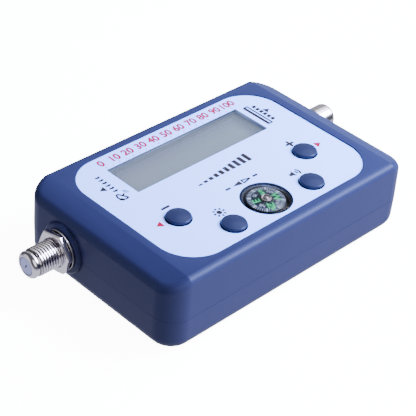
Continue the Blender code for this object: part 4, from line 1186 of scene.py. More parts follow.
@dataclass
class CaseShells:
    """The two moulded shells, with their wall, openings, posts and bosses."""

    layout: Layout
    ports: Ports
    length: float = 108.395 * MM
    width: float = 69.095 * MM
    height: float = 26.9 * MM
    corner: float = 8.0 * MM
    wall: float = 2.0 * MM
    parting: float = 12.0 * MM
    seam: float = 0.08 * MM
    top_edge: float = 2.4 * MM
    bottom_edge: float = 4.5 * MM
    drop_share: float = 0.355
    draft_share: float = 0.014
    corner_steps: int = 20
    edge_steps: int = 8
    over: float = 1.0 * MM
    recess_slack: float = 0.1 * MM
    recess_floor: float = 26.2 * MM
    window_seat: float = 24.7 * MM
    root_depth: float = 0.66 * MM
    top_post: float = 3.0 * MM
    bottom_post: float = 3.9 * MM
    screw_bore: float = 1.65 * MM
    screw_bore_top: float = 20.5 * MM
    head_bore: float = 2.5 * MM
    head_depth: float = 7.0 * MM
    lens_post_x: float = 39.0 * MM
    lens_post: float = 2.4 * MM
    lens_bore: float = 1.2 * MM
    board_post_x: float = 37.5 * MM
    board_post_rows: Point2 = (2.45 * MM, 22.95 * MM)
    board_post: float = 2.3 * MM
    board_post_top: float = 10.2 * MM
    rib: float = 2.5 * MM
    cup_wall: float = 1.2 * MM
    cup_depth: float = 4.9 * MM
    lip_slack: float = 0.3 * MM
    lip_wall: float = 0.8 * MM
    lip_depth: float = 2.0 * MM
    lip_rise: float = 1.2 * MM
    lip_notch: float = 2.2 * MM

    def surface(self, closed: float, opened: float, shoulders: bool) -> Mesh:
        """Half of the case as an open surface with draft.

        Args:
            closed: the height of its closed side.
            opened: the height of its open side.
            shoulders: whether its ends slope down.

        Returns:
            The open surface.
        """
        form = bmesh.new()
        bmesh.ops.create_cube(form, size=1.0)
        tall = abs(closed - opened)
        middle = Matrix.Translation((0, 0, (closed + opened) / 2))
        size = Matrix.Diagonal((self.length, self.width, tall, 1.0))
        bmesh.ops.transform(form, matrix=middle @ size, verts=form.verts)
        upright = [edge for edge in form.edges if abs(edge.verts[0].co.z - edge.verts[1].co.z) > tall / 2]
        steps = self.corner_steps
        bmesh.ops.bevel(form, geom=upright, offset=self.corner, segments=steps, profile=0.5, affect="EDGES")
        for side in (-1, 1) if shoulders else ():
            self.slope(form, side)
        away = math.copysign(self.draft_share, closed - self.parting)
        for vert in form.verts:
            inset = away * (vert.co.z - self.parting)
            vert.co.x *= 1 - inset / (self.length / 2)
            vert.co.y *= 1 - inset / (self.width / 2)
        level = {vert for vert in form.verts if abs(vert.co.z - opened) < JOIN_DISTANCE}
        faces = [face for face in form.faces if level.issuperset(face.verts)]
        bmesh.ops.delete(form, geom=faces, context="FACES_ONLY")
        bmesh.ops.recalc_face_normals(form, faces=form.faces)
        return mesh_from(form)

    def slope(self, form: bmesh.types.BMesh, side: int) -> None:
        """Slope one end of the top down towards the end wall.

        Args:
            form: the case's box.
            side: the sign of the end's x.
        """
        normal = Vector((side * self.drop_share, 0.0, 1.0)).normalized()
        start = Vector((side * (self.length / 2 - self.corner), 0.0, self.height))
        parts = form.verts[:] + form.edges[:] + form.faces[:]
        plane = {"plane_co": start, "plane_no": normal, "clear_outer": True}
        bmesh.ops.bisect_plane(form, geom=parts, dist=JOIN_DISTANCE, **plane)
        bmesh.ops.edgeloop_fill(form, edges=[edge for edge in form.edges if edge.is_boundary])

    def shell(self, surface: Mesh, edge: float) -> Sculpt:
        """Round the closed edge of a surface and give it a wall.

        Args:
            surface: the open surface.
            edge: the closed edge's radius.

        Returns:
            The shell, ready for cuts, with its bosses.
        """
        limit = math.radians(40)
        work = Sculpt(surface)
        work.step("BEVEL", width=edge, segments=self.edge_steps, limit_method="ANGLE", angle_limit=limit)
        even = {"use_even_offset": True, "use_quality_normals": True}
        work.step("SOLIDIFY", thickness=self.wall, offset=-1.0, **even)
        for end in End:
            boss = self.ports.boss(self.length / 2 - self.wall / 2, self.length / 2)
            work.join(self.ports.placed(boss, end))
        return work

    def posts(self, x: float, radius: float, low: float, high: float, sides: int = 40) -> list[Mesh]:
        """Four round posts or holes at plus and minus x, in the rows of the case's screws."""
        places = [(sx * x, sy * self.layout.screw_y, 0.0) for sx in (-1, 1) for sy in (-1, 1)]
        return [moved(rod(radius, low, high, sides), place) for place in places]

    def port_cuts(self) -> list[Mesh]:
        """Bores through both end walls for the threads.

        Returns:
            Their meshes.
        """
        low = self.length / 2 - self.wall - self.over
        high = self.length / 2 + self.ports.boss_height + self.over
        radius = self.ports.thread_radius + self.layout.gap
        return [self.ports.placed(rod(radius, low, high, 64), end) for end in End]

    def openings(self, roof: float) -> list[Mesh]:
        """The label recess, the window, the button holes and the compass hole.

        Args:
            roof: the height of the roof's underside.

        Returns:
            The shapes to cut away.
        """
        place = self.layout
        high = self.height + self.over
        cuts = [
            plate([place.label(self.recess_slack, 24)], self.recess_floor, high),
            plate([place.window(place.window_ledge + place.gap)], self.window_seat, high),
            plate([place.window()], roof - 2 * MM, high),
        ]
        for x, y in place.buttons().values():
            cuts.append(plate([circle(place.button_hole, x, y)], roof - MM, high))
        return cuts + [plate([circle(place.compass_hole, 0.0, place.compass_y, 96)], roof - 6 * MM, high)]

    def top(self) -> Mesh:
        """The upper shell.

        Returns:
            Its mesh.
        """
        place = self.layout
        roof = self.height - self.wall
        root = roof + self.root_depth
        below = self.parting - self.over
        work = self.shell(self.surface(self.height, below, True), self.top_edge)
        work.join(*self.posts(place.screw_x, self.top_post, below, roof + 0.3 * MM))
        work.join(*self.posts(self.lens_post_x, self.lens_post, 18.3 * MM, root))
        rib_x = place.window_length / 2 + place.gap + self.rib
        rib_y = place.window_width / 2 + place.gap + self.rib
        middle = place.window_y
        work.join(block((-rib_x, middle - rib_y, roof - MM), (rib_x, middle + rib_y, root)))
        sleeve = rod(place.compass_hole + self.cup_wall, roof - self.cup_depth, root, 96)
        work.join(moved(sleeve, (0.0, place.compass_y, 0.0)))
        far = self.length
        work.cut(block((-far, -far, -far), (far, far, self.parting + self.seam / 2)))
        work.cut(*self.openings(roof), *self.port_cuts())
        work.cut(*self.posts(place.screw_x, self.screw_bore, below, self.screw_bore_top, 24))
        work.cut(*self.posts(self.lens_post_x, self.lens_bore, 17.0 * MM, 22.5 * MM, 24))
        return self.finished(work)

    def bottom(self) -> Mesh:
        """The lower shell.

        Returns:
            Its mesh.
        """
        x = self.layout.screw_x
        above = self.parting + self.over
        work = self.shell(self.surface(0.0, above, False), self.bottom_edge)
        work.join(*self.posts(x, self.bottom_post, self.wall / 2, above))
        for row in self.board_post_rows:
            for side in (-1, 1):
                post = rod(self.board_post, MM, self.board_post_top, 32)
                work.join(moved(post, (side * self.board_post_x, row, 0.0)))
        far = self.length
        work.cut(block((-far, -far, self.parting - self.seam / 2), (far, far, far)), *self.port_cuts())
        work.cut(*self.posts(x, self.head_bore, -self.over, self.head_depth, 48))
        work.cut(*self.posts(x, self.screw_bore, self.head_depth - MM, above, 24))
        return self.finished(work)

    def finished(self, work: Sculpt) -> Mesh:
        """Shade a finished shell: its flats stay flat and its rounded edges run smooth."""
        return Sculpt(smooth(work.done())).step("WEIGHTED_NORMAL", keep_sharp=True, weight=80).done()

    def lip(self) -> Mesh:
        """The thin lip that stands inside the parting line and keeps the light out.

        Returns:
            Its mesh.
        """
        length = self.length - 2 * self.wall - self.lip_slack
        width = self.width - 2 * self.wall - self.lip_slack
        corner = self.corner - self.wall
        thick = self.lip_wall
        outlines = [
            rounded_outline(length, width, corner),
            rounded_outline(length - 2 * thick, width - 2 * thick, corner - thick),
        ]
        work = Sculpt(plate(outlines, self.parting - self.lip_depth, self.parting + self.lip_rise))
        for end in End:
            notch = rod(self.ports.thread_radius + self.lip_notch, 45 * MM, 60 * MM, 48)
            work.cut(self.ports.placed(notch, end))
        return smooth(work.done())

    def build(self, bench: Bench) -> None:
        """Make both shells and the lip.

        Args:
            bench: where the pieces go.
        """
        bench.piece("case_top", self.top(), CASE_BLUE, ["top_cover"])
        bench.piece("case_bottom", self.bottom(), CASE_BLUE, ["bottom_cover"])
        bench.piece("case_lip", self.lip(), CASE_BLUE)


# The printed label


@dataclass
class FrontLabel:
    """The film and its printed marks: a plain scale, bars and small signs.

    The signs' outlines and the pen that draws them are in millimetres.
    """

    layout: Layout
    seat: float = 0.12 * MM
    ink: float = 0.02 * MM
    pen: float = 0.66
    number_height: float = 2.95 * MM
    number_bold: float = 0.15 * MM
    number_step: float = 5.7 * MM
    number_y: float = 27.0 * MM

    @property
    def high(self) -> float:
        """The height of the film's top."""
        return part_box("front_label")[1].z

    def film(self) -> Mesh:
        """The film with its window and its holes.

        Returns:
            Its mesh.
        """
        place = self.layout
        outlines = [place.label(0.0, 32), place.window()]
        outlines += [circle(place.compass_hole, 0.0, place.compass_y, 96)]
        outlines += [circle(place.button_hole, x, y) for x, y in place.buttons().values()]
        return plate(outlines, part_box("front_label")[0].z + self.seat, self.high)

    def marks(self, outlines: Sequence[Outline]) -> Mesh:
        """Thin ink shapes on the film, one for each outline in millimetres."""
        scaled = [[(x * MM, y * MM) for x, y in outline] for outline in outlines]
        return joined(plate([outline], self.high, self.high + self.ink) for outline in scaled)

    def row(self, name: str, finish: Finish, sizes: Sizes) -> Mesh:
        """A row of upright lines, each longer than the one before by a fixed rise.

        Args:
            name: what the row is.
            finish: its ink.
            sizes: Count, Step, Foot, Line width, First line, Rise, and Cycle, after which the lengths repeat.

        Returns:
            Its mesh on the film.
        """
        rule = RuleTree(name, {**sizes, "Height": self.high + self.ink / 2, "Ink": self.ink})
        size = rule.size
        place = rule.sum("MODULO", rule.index, size["Cycle"])
        tall = rule.sum("ADD", size["First line"], rule.sum("MULTIPLY", place, size["Rise"]))
        across = rule.spaced(rule.index, size["Count"], size["Step"])
        upward = rule.sum("ADD", size["Foot"], rule.sum("DIVIDE", tall, 2.0))
        scale = rule.vector(size["Line width"], tall, size["Ink"])
        return rule.scatter(rule.vector(across, upward, size["Height"]), finish, Scale=scale)

    def scale(self) -> Mesh:
        """The row of scale lines over the window, every second one long.

        Returns:
            Their mesh.
        """
        place: Sizes = {"Count": 21, "Step": 2.85 * MM, "Foot": 24.0 * MM, "Line width": 0.3 * MM}
        tall: Sizes = {"First line": 0.7 * MM, "Rise": -0.35 * MM, "Cycle": 2}
        return self.row("scale lines", INK_RED, {**place, **tall})

    def bars(self) -> Mesh:
        """A row of bars that rise from left to right, for a growing signal.

        Returns:
            Their mesh.
        """
        place: Sizes = {"Count": 10, "Step": 2.5 * MM, "Foot": -1.75 * MM, "Line width": 1.6 * MM}
        tall: Sizes = {"First line": 0.7 * MM, "Rise": 0.4 * MM, "Cycle": 10}
        return self.row("signal bars", INK_DARK, {**place, **tall})

    def numbers(self) -> Mesh:
        """The plain numbers 0 to 100 over the long scale lines.

        Returns:
            Their mesh.
        """
        made = []
        for count in range(11):
            mesh = lettering(str(count * 10), self.number_height, self.ink, self.number_bold)
            made.append(moved(mesh, ((count - 5) * self.number_step, self.number_y, self.high)))
        return joined(made)

    def dish(self, x: float, y: float) -> list[Outline]:
        """A small dish aerial on a foot, with two waves.

        Args:
            x: its middle.
            y: its middle.

        Returns:
            Its outlines.
        """
        bowl = arc(1.9, math.radians(120), math.radians(300), 16, x, y)
        focus = (x + 0.95, y + 0.55)
        lines = [bowl, [bowl[0], bowl[-1]], [(x, y), focus]]
        lines += [[(x - 1.7, y - 1.6), (x - 1.0, y - 0.9)], [(x - 2.2, y - 0.9), (x - 1.0, y - 2.1)]]
        waves = [arc(radius, math.radians(-5), math.radians(65), 8, *focus) for radius in (1.1, 1.8)]
        signs = [stroke(line, self.pen) for line in lines] + [circle(0.32, *focus, 16)]
        return signs + [stroke(wave, 0.34) for wave in waves]

    def waves(self, x: float, y: float) -> list[Outline]:
        """A row of small arcs that run towards the dish."""
        turns = (math.radians(215), math.radians(325))
        return [stroke(arc(1.0, *turns, 10, x, y + count * 1.75), 0.8) for count in range(6)]

    def receiver(self, x: float, low: float, high: float) -> list[Outline]:
        """A flat box with a row of small lamps, for what the signal goes to.

        Args:
            x: its middle.
            low: its front end.
            high: its back end.

        Returns:
            Its outlines.
        """
        tall, middle = high - low, (low + high) / 2
        signs = [box_outline(1.2, tall, x - 0.75, middle), box_outline(0.7, tall, x + 0.75, middle)]
        signs += [box_outline(1.9, 0.6, x, y) for y in (low, high)]
        return signs + [box_outline(1.6, 1.3, x + 2.6, low + 1.6 + count * 1.8) for count in range(6)]

    def pointer(self, x: float, y: float, back: float, half: float) -> Outline:
        """A small solid triangle with its tip at x and y, as long as back and twice as wide as half."""
        return [(x, y), (x + back, y + half), (x + back, y - half)]

    def levels(self) -> list[Outline]:
        """A minus by the left level button and a plus by the right one."""
        lines = [box_outline(3.4, 0.95, x, y) for x, y in ((-28.3, -3.3), (28.3, -3.2))]
        return lines + [box_outline(0.95, 1.2, 28.3, y) for y in (-2.15, -4.25)]

    def lamp(self, x: float, y: float) -> list[Outline]:
        """A round lamp with rays.

        Args:
            x: its middle.
            y: its middle.

        Returns:
            Its outlines.
        """
        outlines = [circle(0.95, x, y, 24)]
        for angle in (count * math.tau / 8 for count in range(8)):
            ray = [(x + reach * math.cos(angle), y + reach * math.sin(angle)) for reach in (1.35, 2.25)]
            outlines.append(stroke(ray, 0.7))
        return outlines

    def sounder(self, x: float, y: float) -> list[Outline]:
        """A small loudspeaker with two waves.

        Args:
            x: its middle.
            y: its middle.

        Returns:
            Its outlines.
        """
        horn = [(x - 2.2, y - 0.6), (x - 1.3, y - 0.6), (x - 0.1, y - 1.45)]
        horn += [(x - 0.1, y + 1.45), (x - 1.3, y + 0.6), (x - 2.2, y + 0.6)]
        turn = math.radians(42)
        return [horn] + [stroke(arc(radius, -turn, turn, 10, x, y), 0.68) for radius in (1.0, 2.1)]

    def needle(self, x: float, y: float) -> list[Outline]:
        """A compass needle lying across, between two short lines.

        Args:
            x: its middle.
            y: its middle.

        Returns:
            Its outlines.
        """
        outlines = [[(x - 4.0, y), (x - 0.3, y - 1.1), (x - 0.3, y + 1.1)]]
        outlines += [stroke([(x + 0.5, y + rise), (x + 3.8, y)], 0.6) for rise in (0.8, -0.8)]
        outlines.append(box_outline(0.6, 2.1, x + 0.5, y))
        return outlines + [box_outline(2.1, 0.85, x + side * 6.1, y) for side in (-1, 1)]

    def build(self, bench: Bench) -> None:
        """Make the film and everything printed on it.

        Args:
            bench: where the pieces go.
        """
        bench.piece("label_sheet", self.film(), LABEL_FILM, ["front_label"])
        bench.piece("label_scale_lines", self.scale(), INK_RED)
        bench.piece("label_scale_numbers", self.numbers(), INK_RED)
        bench.piece("label_signal_bars", self.bars(), INK_DARK)
        ends = [self.pointer(-38.5, 15.9, 2.2, 1.3), self.pointer(38.7, 16.2, -2.2, 1.3)]
        ends += self.dish(-34.4, 9.7) + self.waves(-34.4, 14.0) + self.receiver(32.7, 9.7, 21.9)
        bench.piece("label_end_signs", self.marks(ends), INK_DARK)
        signs = self.levels() + self.lamp(-16.9, -15.6) + self.sounder(17.0, -15.9) + self.needle(0.0, -8.6)
        bench.piece("label_button_signs", self.marks(signs), INK_DARK)
        red = [self.pointer(-37.0, -8.7, 2.4, 1.45), self.pointer(37.1, -9.25, -2.4, 1.45)]
        bench.piece("label_level_pointers", self.marks(red), INK_RED)


# Display, buttons and compass


@dataclass
class Display:
    """The clear window and what lies under it."""

    layout: Layout
    skirt: float = 0.14 * MM
    slack: float = 0.02 * MM
    edge: float = 0.03 * MM

    def gasket(self, sheet_low: float, sheet_high: float) -> Mesh:
        """The grey gasket that the window sheet lies on, with a skirt that lines the opening.

        Args:
            sheet_low: the height of the sheet's underside.
            sheet_high: the height of its top.

        Returns:
            A closed mesh.
        """
        place, slack = self.layout, self.slack
        glass_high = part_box("lcd_glass")[1].z
        seat = place.window(place.window_ledge + place.gap - slack)
        sheet = place.window(place.window_ledge + slack)
        outer, inner = place.window(-slack), place.window(-slack - self.skirt)
        flange = plate([seat, inner], sheet_low - place.gap + slack, sheet_low - slack)
        # The lining's dark grey stands partly for painted shade in the opening.
        lining = plate([outer, inner], glass_high + slack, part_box("front_label")[1].z - slack)
        return joined([flange, lining, plate([seat, sheet], sheet_low - slack, sheet_high - slack)])

    def build(self, bench: Bench) -> None:
        """Make the window and dress the display.

        Args:
            bench: where the pieces go.
        """
        low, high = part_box("display_window")
        sheet = block(tuple(low), tuple(high), self.edge)
        bench.piece("window_sheet", sheet, CLEAR_WINDOW, ["display_window"])
        bench.piece("window_gasket", self.gasket(low.z, high.z), GASKET_GREY)
        bench.dress(DISPLAY, "lcd_glass")
        bench.dress(BLACK_PLASTIC, "lcd_holder")
        bench.dress(WHITE_PLASTIC, "lcd_light_guide")
        bench.dress(PINK_RUBBER, "lcd_contact_strip_front", "lcd_contact_strip_back")


@dataclass
class Buttons:
    """The four caps, with a soft crown and a rounded rim."""

    layout: Layout
    radius: float = 4.1 * MM
    crown_rise: float = 0.38 * MM
    rounding: float = 0.5 * MM
    side: float = 0.05 * MM
    under_rounding: float = 0.62 * MM
    under_turn: float = math.radians(64)
    neck: float = 3.75 * MM
    flange_radius: float = 5.2 * MM
    flange_top: float = 24.6 * MM
    flange: float = 0.8 * MM
    stem: float = 1.6 * MM

    def cap(self, name: str) -> Mesh:
        """One cap, turned along z at its place.

        Args:
            name: the button's name.

        Returns:
            A closed mesh.
        """
        low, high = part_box(f"{name}_button")
        edge = high.z - self.crown_rise
        profile = crown(self.radius - self.rounding, edge, self.crown_rise, 10)[:-1]
        profile += rounded_corner(self.radius, edge, self.rounding, 10)
        under = (self.radius - self.under_rounding, edge - self.rounding - self.side)
        profile += arc(self.under_rounding, 0.0, -self.under_turn, 8, *under)
        profile += [(self.neck, profile[-1][1]), (self.neck, self.flange_top)]
        profile += [(self.flange_radius, self.flange_top)]
        bottom = self.flange_top - self.flange
        profile += [(self.flange_radius, bottom), (self.stem, bottom), (self.stem, low.z), (0.0, low.z)]
        return moved(lathe(profile, 72), (*self.layout.buttons()[name], 0.0))

    def build(self, bench: Bench) -> None:
        """Make the caps and dress the switches.

        Args:
            bench: where the pieces go.
        """
        for name in self.layout.buttons():
            nodes = [f"{name}_button"]
            bench.piece(f"{name}_cap", self.cap(name), BUTTON_BLUE, nodes, name)
            bench.dress(BLACK_PLASTIC, f"{name}_plunger")
            bench.dress(TINNED, f"{name}_switch")


@dataclass
class Compass:
    """The liquid-filled capsule, its card and the bright bearing cap."""

    layout: Layout
    cup_radius: float = 8.3 * MM
    cup_wall: float = 0.6 * MM
    ledge: float = 0.7 * MM
    rim: float = 0.42 * MM
    rim_edge: float = 0.08 * MM
    shelf_depth: float = 1.6 * MM
    sunk: float = 0.04 * MM
    card_radius: float = 6.2 * MM
    card_bore: float = 0.7 * MM
    paint: float = 0.02 * MM
    north: float = math.radians(250)
    line_start: float = 4.6 * MM
    line_end: float = 5.95 * MM
    letter_radius: float = 3.15 * MM
    letter_height: float = 2.35 * MM
    letter_bold: float = 0.06 * MM
    small_radius: float = 3.55 * MM
    small_height: float = 1.1 * MM
    bearing_radius: float = 1.7 * MM
    bearing_inner: float = 0.95 * MM
    bearing_lip: float = 1.4 * MM

    def at(self, mesh: Mesh) -> Mesh:
        """Move a mesh to the compass's axis."""
        return moved(mesh, (0.0, self.layout.compass_y, 0.0))

    def steps(self) -> tuple[float, float, float, float]:
        """The heights and radii of the cup's steps.

        Returns:
            The floor's and the shelf's height, the well's radius and the rim's inner radius.
        """
        low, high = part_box("compass_cup")
        well = self.cup_radius - self.cup_wall - self.ledge
        return low.z + MM, high.z - self.shelf_depth, well, self.cup_radius - self.rim

    def cup(self) -> Mesh:
        """The black cup: a thin rim round a broad shelf that the clear capsule sits on.

        Returns:
            A closed mesh.
        """
        low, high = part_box("compass_cup")
        floor, shelf, well, lip = self.steps()
        rim = rounded_corner(self.cup_radius, high.z, self.rim_edge, 3)
        profile = [(0.0, floor), (well, floor), (well, shelf), (lip, shelf)]
        profile += [(self.cup_radius + lip - radius, height) for radius, height in reversed(rim)] + rim
        return self.at(lathe(profile + [(self.cup_radius, low.z), (0.0, low.z)], 96))

    def capsule(self) -> Mesh:
        """The clear dome with the liquid under it, as one clear body round the card.

        Returns:
            A closed mesh.
        """
        sunk = self.sunk
        floor, shelf, well, lip = self.steps()
        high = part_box("compass_dome")[1].z
        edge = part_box("compass_cup")[1].z - 0.05 * MM
        profile = crown(lip + sunk, edge, high - edge, 32)
        profile += [(lip + sunk, shelf - sunk), (well + sunk, shelf - sunk)]
        return self.at(lathe(profile + [(well + sunk, floor - sunk), (0.0, floor - sunk)], 96))

    def shelf_ring(self) -> Mesh:
        """The dark seat of the capsule on the cup's shelf.

        Returns:
            A closed mesh.
        """
        shelf, well, lip = self.steps()[1:]
        low, outer = shelf + 0.01 * MM, lip - 0.05 * MM
        high = low + 0.05 * MM
        return self.at(lathe([(outer, high), (outer, low), (well, low), (well, high)], 96, closed=True))

    def lines(self, top: float) -> Mesh:
        """A ring of radial lines on the card, every sixth one a broad block.

        Args:
            top: the height of the card's top.

        Returns:
            Their mesh, round the z axis.
        """
        sizes: Sizes = {
            "Count": 48,
            "Radius": (self.line_start + self.line_end) / 2,
            "Start": self.north,
            "Height": top + self.paint / 2,
            "Length": self.line_end - self.line_start,
            "Line width": 0.14 * MM,
            "Block width": 0.5 * MM,
            "Block every": 6,
            "First block": 3,
            "Paint": self.paint,
        }
        rule = RuleTree("card lines", sizes)
        size = rule.size
        turn = rule.sum("DIVIDE", rule.sum("MULTIPLY", rule.index, math.tau), size["Count"])
        angle = rule.sum("ADD", turn, size["Start"])
        place = rule.vector(*rule.polar(angle, size["Radius"]), size["Height"])
        rank = rule.sum("MODULO", rule.index, size["Block every"])
        is_block = rule.sum("COMPARE", rank, size["First block"], 0.5)
        extra = rule.sum("MULTIPLY", is_block, rule.sum("SUBTRACT", size["Block width"], size["Line width"]))
        scale = rule.vector(size["Length"], rule.sum("ADD", size["Line width"], extra), size["Paint"])
        return rule.scatter(place, CARD_WHITE, Scale=scale, Rotation=rule.vector(0.0, 0.0, angle))

    def spoken(self, text: str, angle: float, radius: float, height: float, top: float, bold: float) -> Mesh:
        """Characters at an angle and a radius of the card, whose heads point outwards."""
        mesh = moved(lettering(text, height, self.paint, bold), (0.0, radius, top))
        return moved(mesh, turn=angle - math.pi / 2)

    def card(self, bench: Bench) -> None:
        """The black card with its lines and letters.

        Args:
            bench: where the pieces go.
        """
        rose = "compass_rose"
        low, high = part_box("compass_card")
        top = high.z
        profile = rounded_corner(self.card_radius, top, 0.1 * MM, 3)
        profile += [(self.card_radius, low.z), (self.card_bore, low.z), (self.card_bore, top)]
        disc = self.at(lathe(profile, 96, closed=True))
        bench.piece("compass_card_disc", disc, CARD_BLACK, ["compass_card"], rose)
        bench.piece("compass_card_lines", self.at(self.lines(top)), CARD_WHITE, body=rose)
        big = (self.letter_radius, self.letter_height, top, self.letter_bold)
        small = (self.small_radius, self.small_height, top, 0.0)
        letters, between = [], []
        for count, (whole, half) in enumerate((("N", "NW"), ("W", "SW"), ("S", "SE"), ("E", "NE"))):
            angle = self.north + count * math.pi / 2
            letters.append(self.spoken(whole, angle, *big))
            between.append(self.spoken(half, angle + math.pi / 4, *small))
        bench.piece("compass_card_letters", self.at(joined(letters)), CARD_GREEN, body=rose)
        bench.piece("compass_card_small_letters", self.at(joined(between)), CARD_WHITE, body=rose)
        tip = [(4.3 * MM, 0.6 * MM), (4.3 * MM, -0.6 * MM), (6.1 * MM, 0.0)]
        arrow = moved(plate([tip], top, top + 2 * self.paint), turn=self.north)
        bench.piece("compass_card_arrow", self.at(arrow), CARD_GREEN, body=rose)

    def bearing(self) -> Mesh:
        """The bright cap in the middle of the card.

        Returns:
            A closed mesh.
        """
        low, high = (corner.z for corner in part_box("compass_bearing"))
        inner, outer, lip = self.bearing_inner, self.bearing_radius, self.bearing_lip
        soft, rounding = 0.1 * MM, 0.3 * MM
        step, groove, hollow = low + 0.5 * MM, low + 0.12 * MM, low + 0.08 * MM
        profile = crown(inner - rounding, high - soft, soft, 6)[:-1]
        profile += rounded_corner(inner, high - soft, rounding, 6)
        profile += [(inner, groove), (lip, groove), (lip, step)] + rounded_corner(outer, step, soft, 4)
        profile += [(outer, low), (self.card_bore, low), (self.card_bore, hollow), (0.0, hollow)]
        return self.at(lathe(profile, 64))

    def build(self, bench: Bench) -> None:
        """Make the capsule and the card.

        Args:
            bench: where the pieces go.
        """
        bench.piece("compass_cup_fine", self.cup(), CAPSULE_BLACK, ["compass_cup"])
        capsule = self.capsule()
        dome = bench.piece("compass_capsule", capsule, CLEAR_CAPSULE, ["compass_dome"])
        dome.visible_shadow = False
        bench.piece("compass_shelf", self.shelf_ring(), SHELF_GREY)
        bench.dress(BRASS, "compass_pivot")
        bench.dress(MAGNET, "compass_magnet")
        self.card(bench)
        nodes = ["compass_bearing"]
        bench.piece("compass_bearing_cap", self.bearing(), BEARING_NICKEL, nodes, "compass_rose")


# Screws and the parts inside


@dataclass
class CaseScrews:
    """The four screws in the underside, with a cross recess."""

    layout: Layout
    head: float = 2.2 * MM
    head_rise: float = 0.35 * MM
    head_edge: float = 0.55 * MM
    head_height: float = 1.9 * MM
    shank: float = 1.35 * MM
    point: float = 0.3 * MM
    cross_reach: float = 1.15 * MM
    cross_half: float = 0.28 * MM
    cross_depth: float = 1.2 * MM

    def screw(self) -> Mesh:
        """One screw at the z axis, head down.

        Returns:
            A closed mesh.
        """
        low, high = (corner.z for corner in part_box("case_screw_1"))
        seat = low + self.head_height
        dome = crown(self.head - 0.2 * MM, low, self.head_rise, 6)
        profile = [(radius, 2 * low - height + self.head_rise) for radius, height in dome]
        profile += [(self.head, low + self.head_edge), (self.head, seat), (self.shank, seat)]
        work = Sculpt(lathe(profile + [(self.shank, high - MM), (self.point, high), (0.0, high)], 48))
        reach, half = self.cross_reach, self.cross_half
        for x, y in ((reach, half), (half, reach)):
            work.cut(block((-x, -y, low - MM), (x, y, low + self.cross_depth)))
        return smooth(work.done())

    def build(self, bench: Bench) -> None:
        """Make the screws.

        Args:
            bench: where the pieces go.
        """
        rule = RuleTree("corner copies", {"Count": 4, "X": self.layout.screw_x, "Y": self.layout.screw_y})
        across = rule.sum("MULTIPLY", rule.side(rule.index), rule.size["X"])
        upward = rule.sum("MULTIPLY", rule.side(rule.rank()), rule.size["Y"])
        screws = rule.scatter(rule.vector(across, upward), SCREW_STEEL, self.screw())
        nodes = [f"case_screw_{number}" for number in range(1, 5)]
        bench.piece("case_screws_fine", screws, SCREW_STEEL, nodes)


@dataclass
class Inside:
    """The boards and the parts on them, hidden in the case."""

    lead_count: int = 24
    lead_pitch: float = 0.8 * MM
    lead_out: float = 0.45 * MM
    lead_drop: float = 0.15 * MM
    lead_size: Point3 = (1.0 * MM, 0.35 * MM, 0.15 * MM)

    def leads(self) -> Mesh:
        """Rows of leads on two sides of the microcontroller.

        Returns:
            Their mesh.
        """
        low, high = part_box("microcontroller")
        sizes: Sizes = {
            "Count": self.lead_count,
            "Pitch": self.lead_pitch,
            "Reach": (high.x - low.x) / 2 + self.lead_out,
            "Height": high.z - self.lead_drop,
            "Middle y": (low.y + high.y) / 2,
        }
        rule = RuleTree("chip leads", sizes)
        size = rule.size
        along = rule.spaced(rule.rank(), rule.sum("DIVIDE", size["Count"], 2.0), size["Pitch"])
        across = rule.sum("MULTIPLY", rule.side(rule.index), size["Reach"])
        place = rule.vector(across, rule.sum("ADD", along, size["Middle y"]), size["Height"])
        return rule.scatter(place, TINNED, Scale=self.lead_size)

    def build(self, bench: Bench) -> None:
        """Dress the hidden parts and add the chip's leads.

        Args:
            bench: where the pieces go.
        """
        bench.dress(BOARD_GREEN, "main_board", "radio_board")
        bench.dress(BLACK_PLASTIC, "microcontroller", "voltage_regulator", "buzzer", "board_header")
        bench.dress(TINNED, "crystal", "capacitor_1", "capacitor_2", "radio_shield")
        bench.dress(SCREW_STEEL, *[f"board_screw_{number}" for number in range(1, 5)])
        bench.dress(SCREW_STEEL, "radio_screw_left", "radio_screw_right")
        bench.piece("microcontroller_leads", self.leads(), TINNED)


# The studio


@dataclass(frozen=True)
class Glow:
    """A soft round patch of light far away, full within one angle and gone past another."""

    toward: Point3
    level: float
    full: float
    faded: float
    colour: Colour = (1.0, 1.0, 1.0)


@dataclass(frozen=True)
class SoftBox:
    """One soft oblong light that faces the meter."""

    name: str
    place: Point3
    length: float
    width: float
    power: float
    colour: Colour


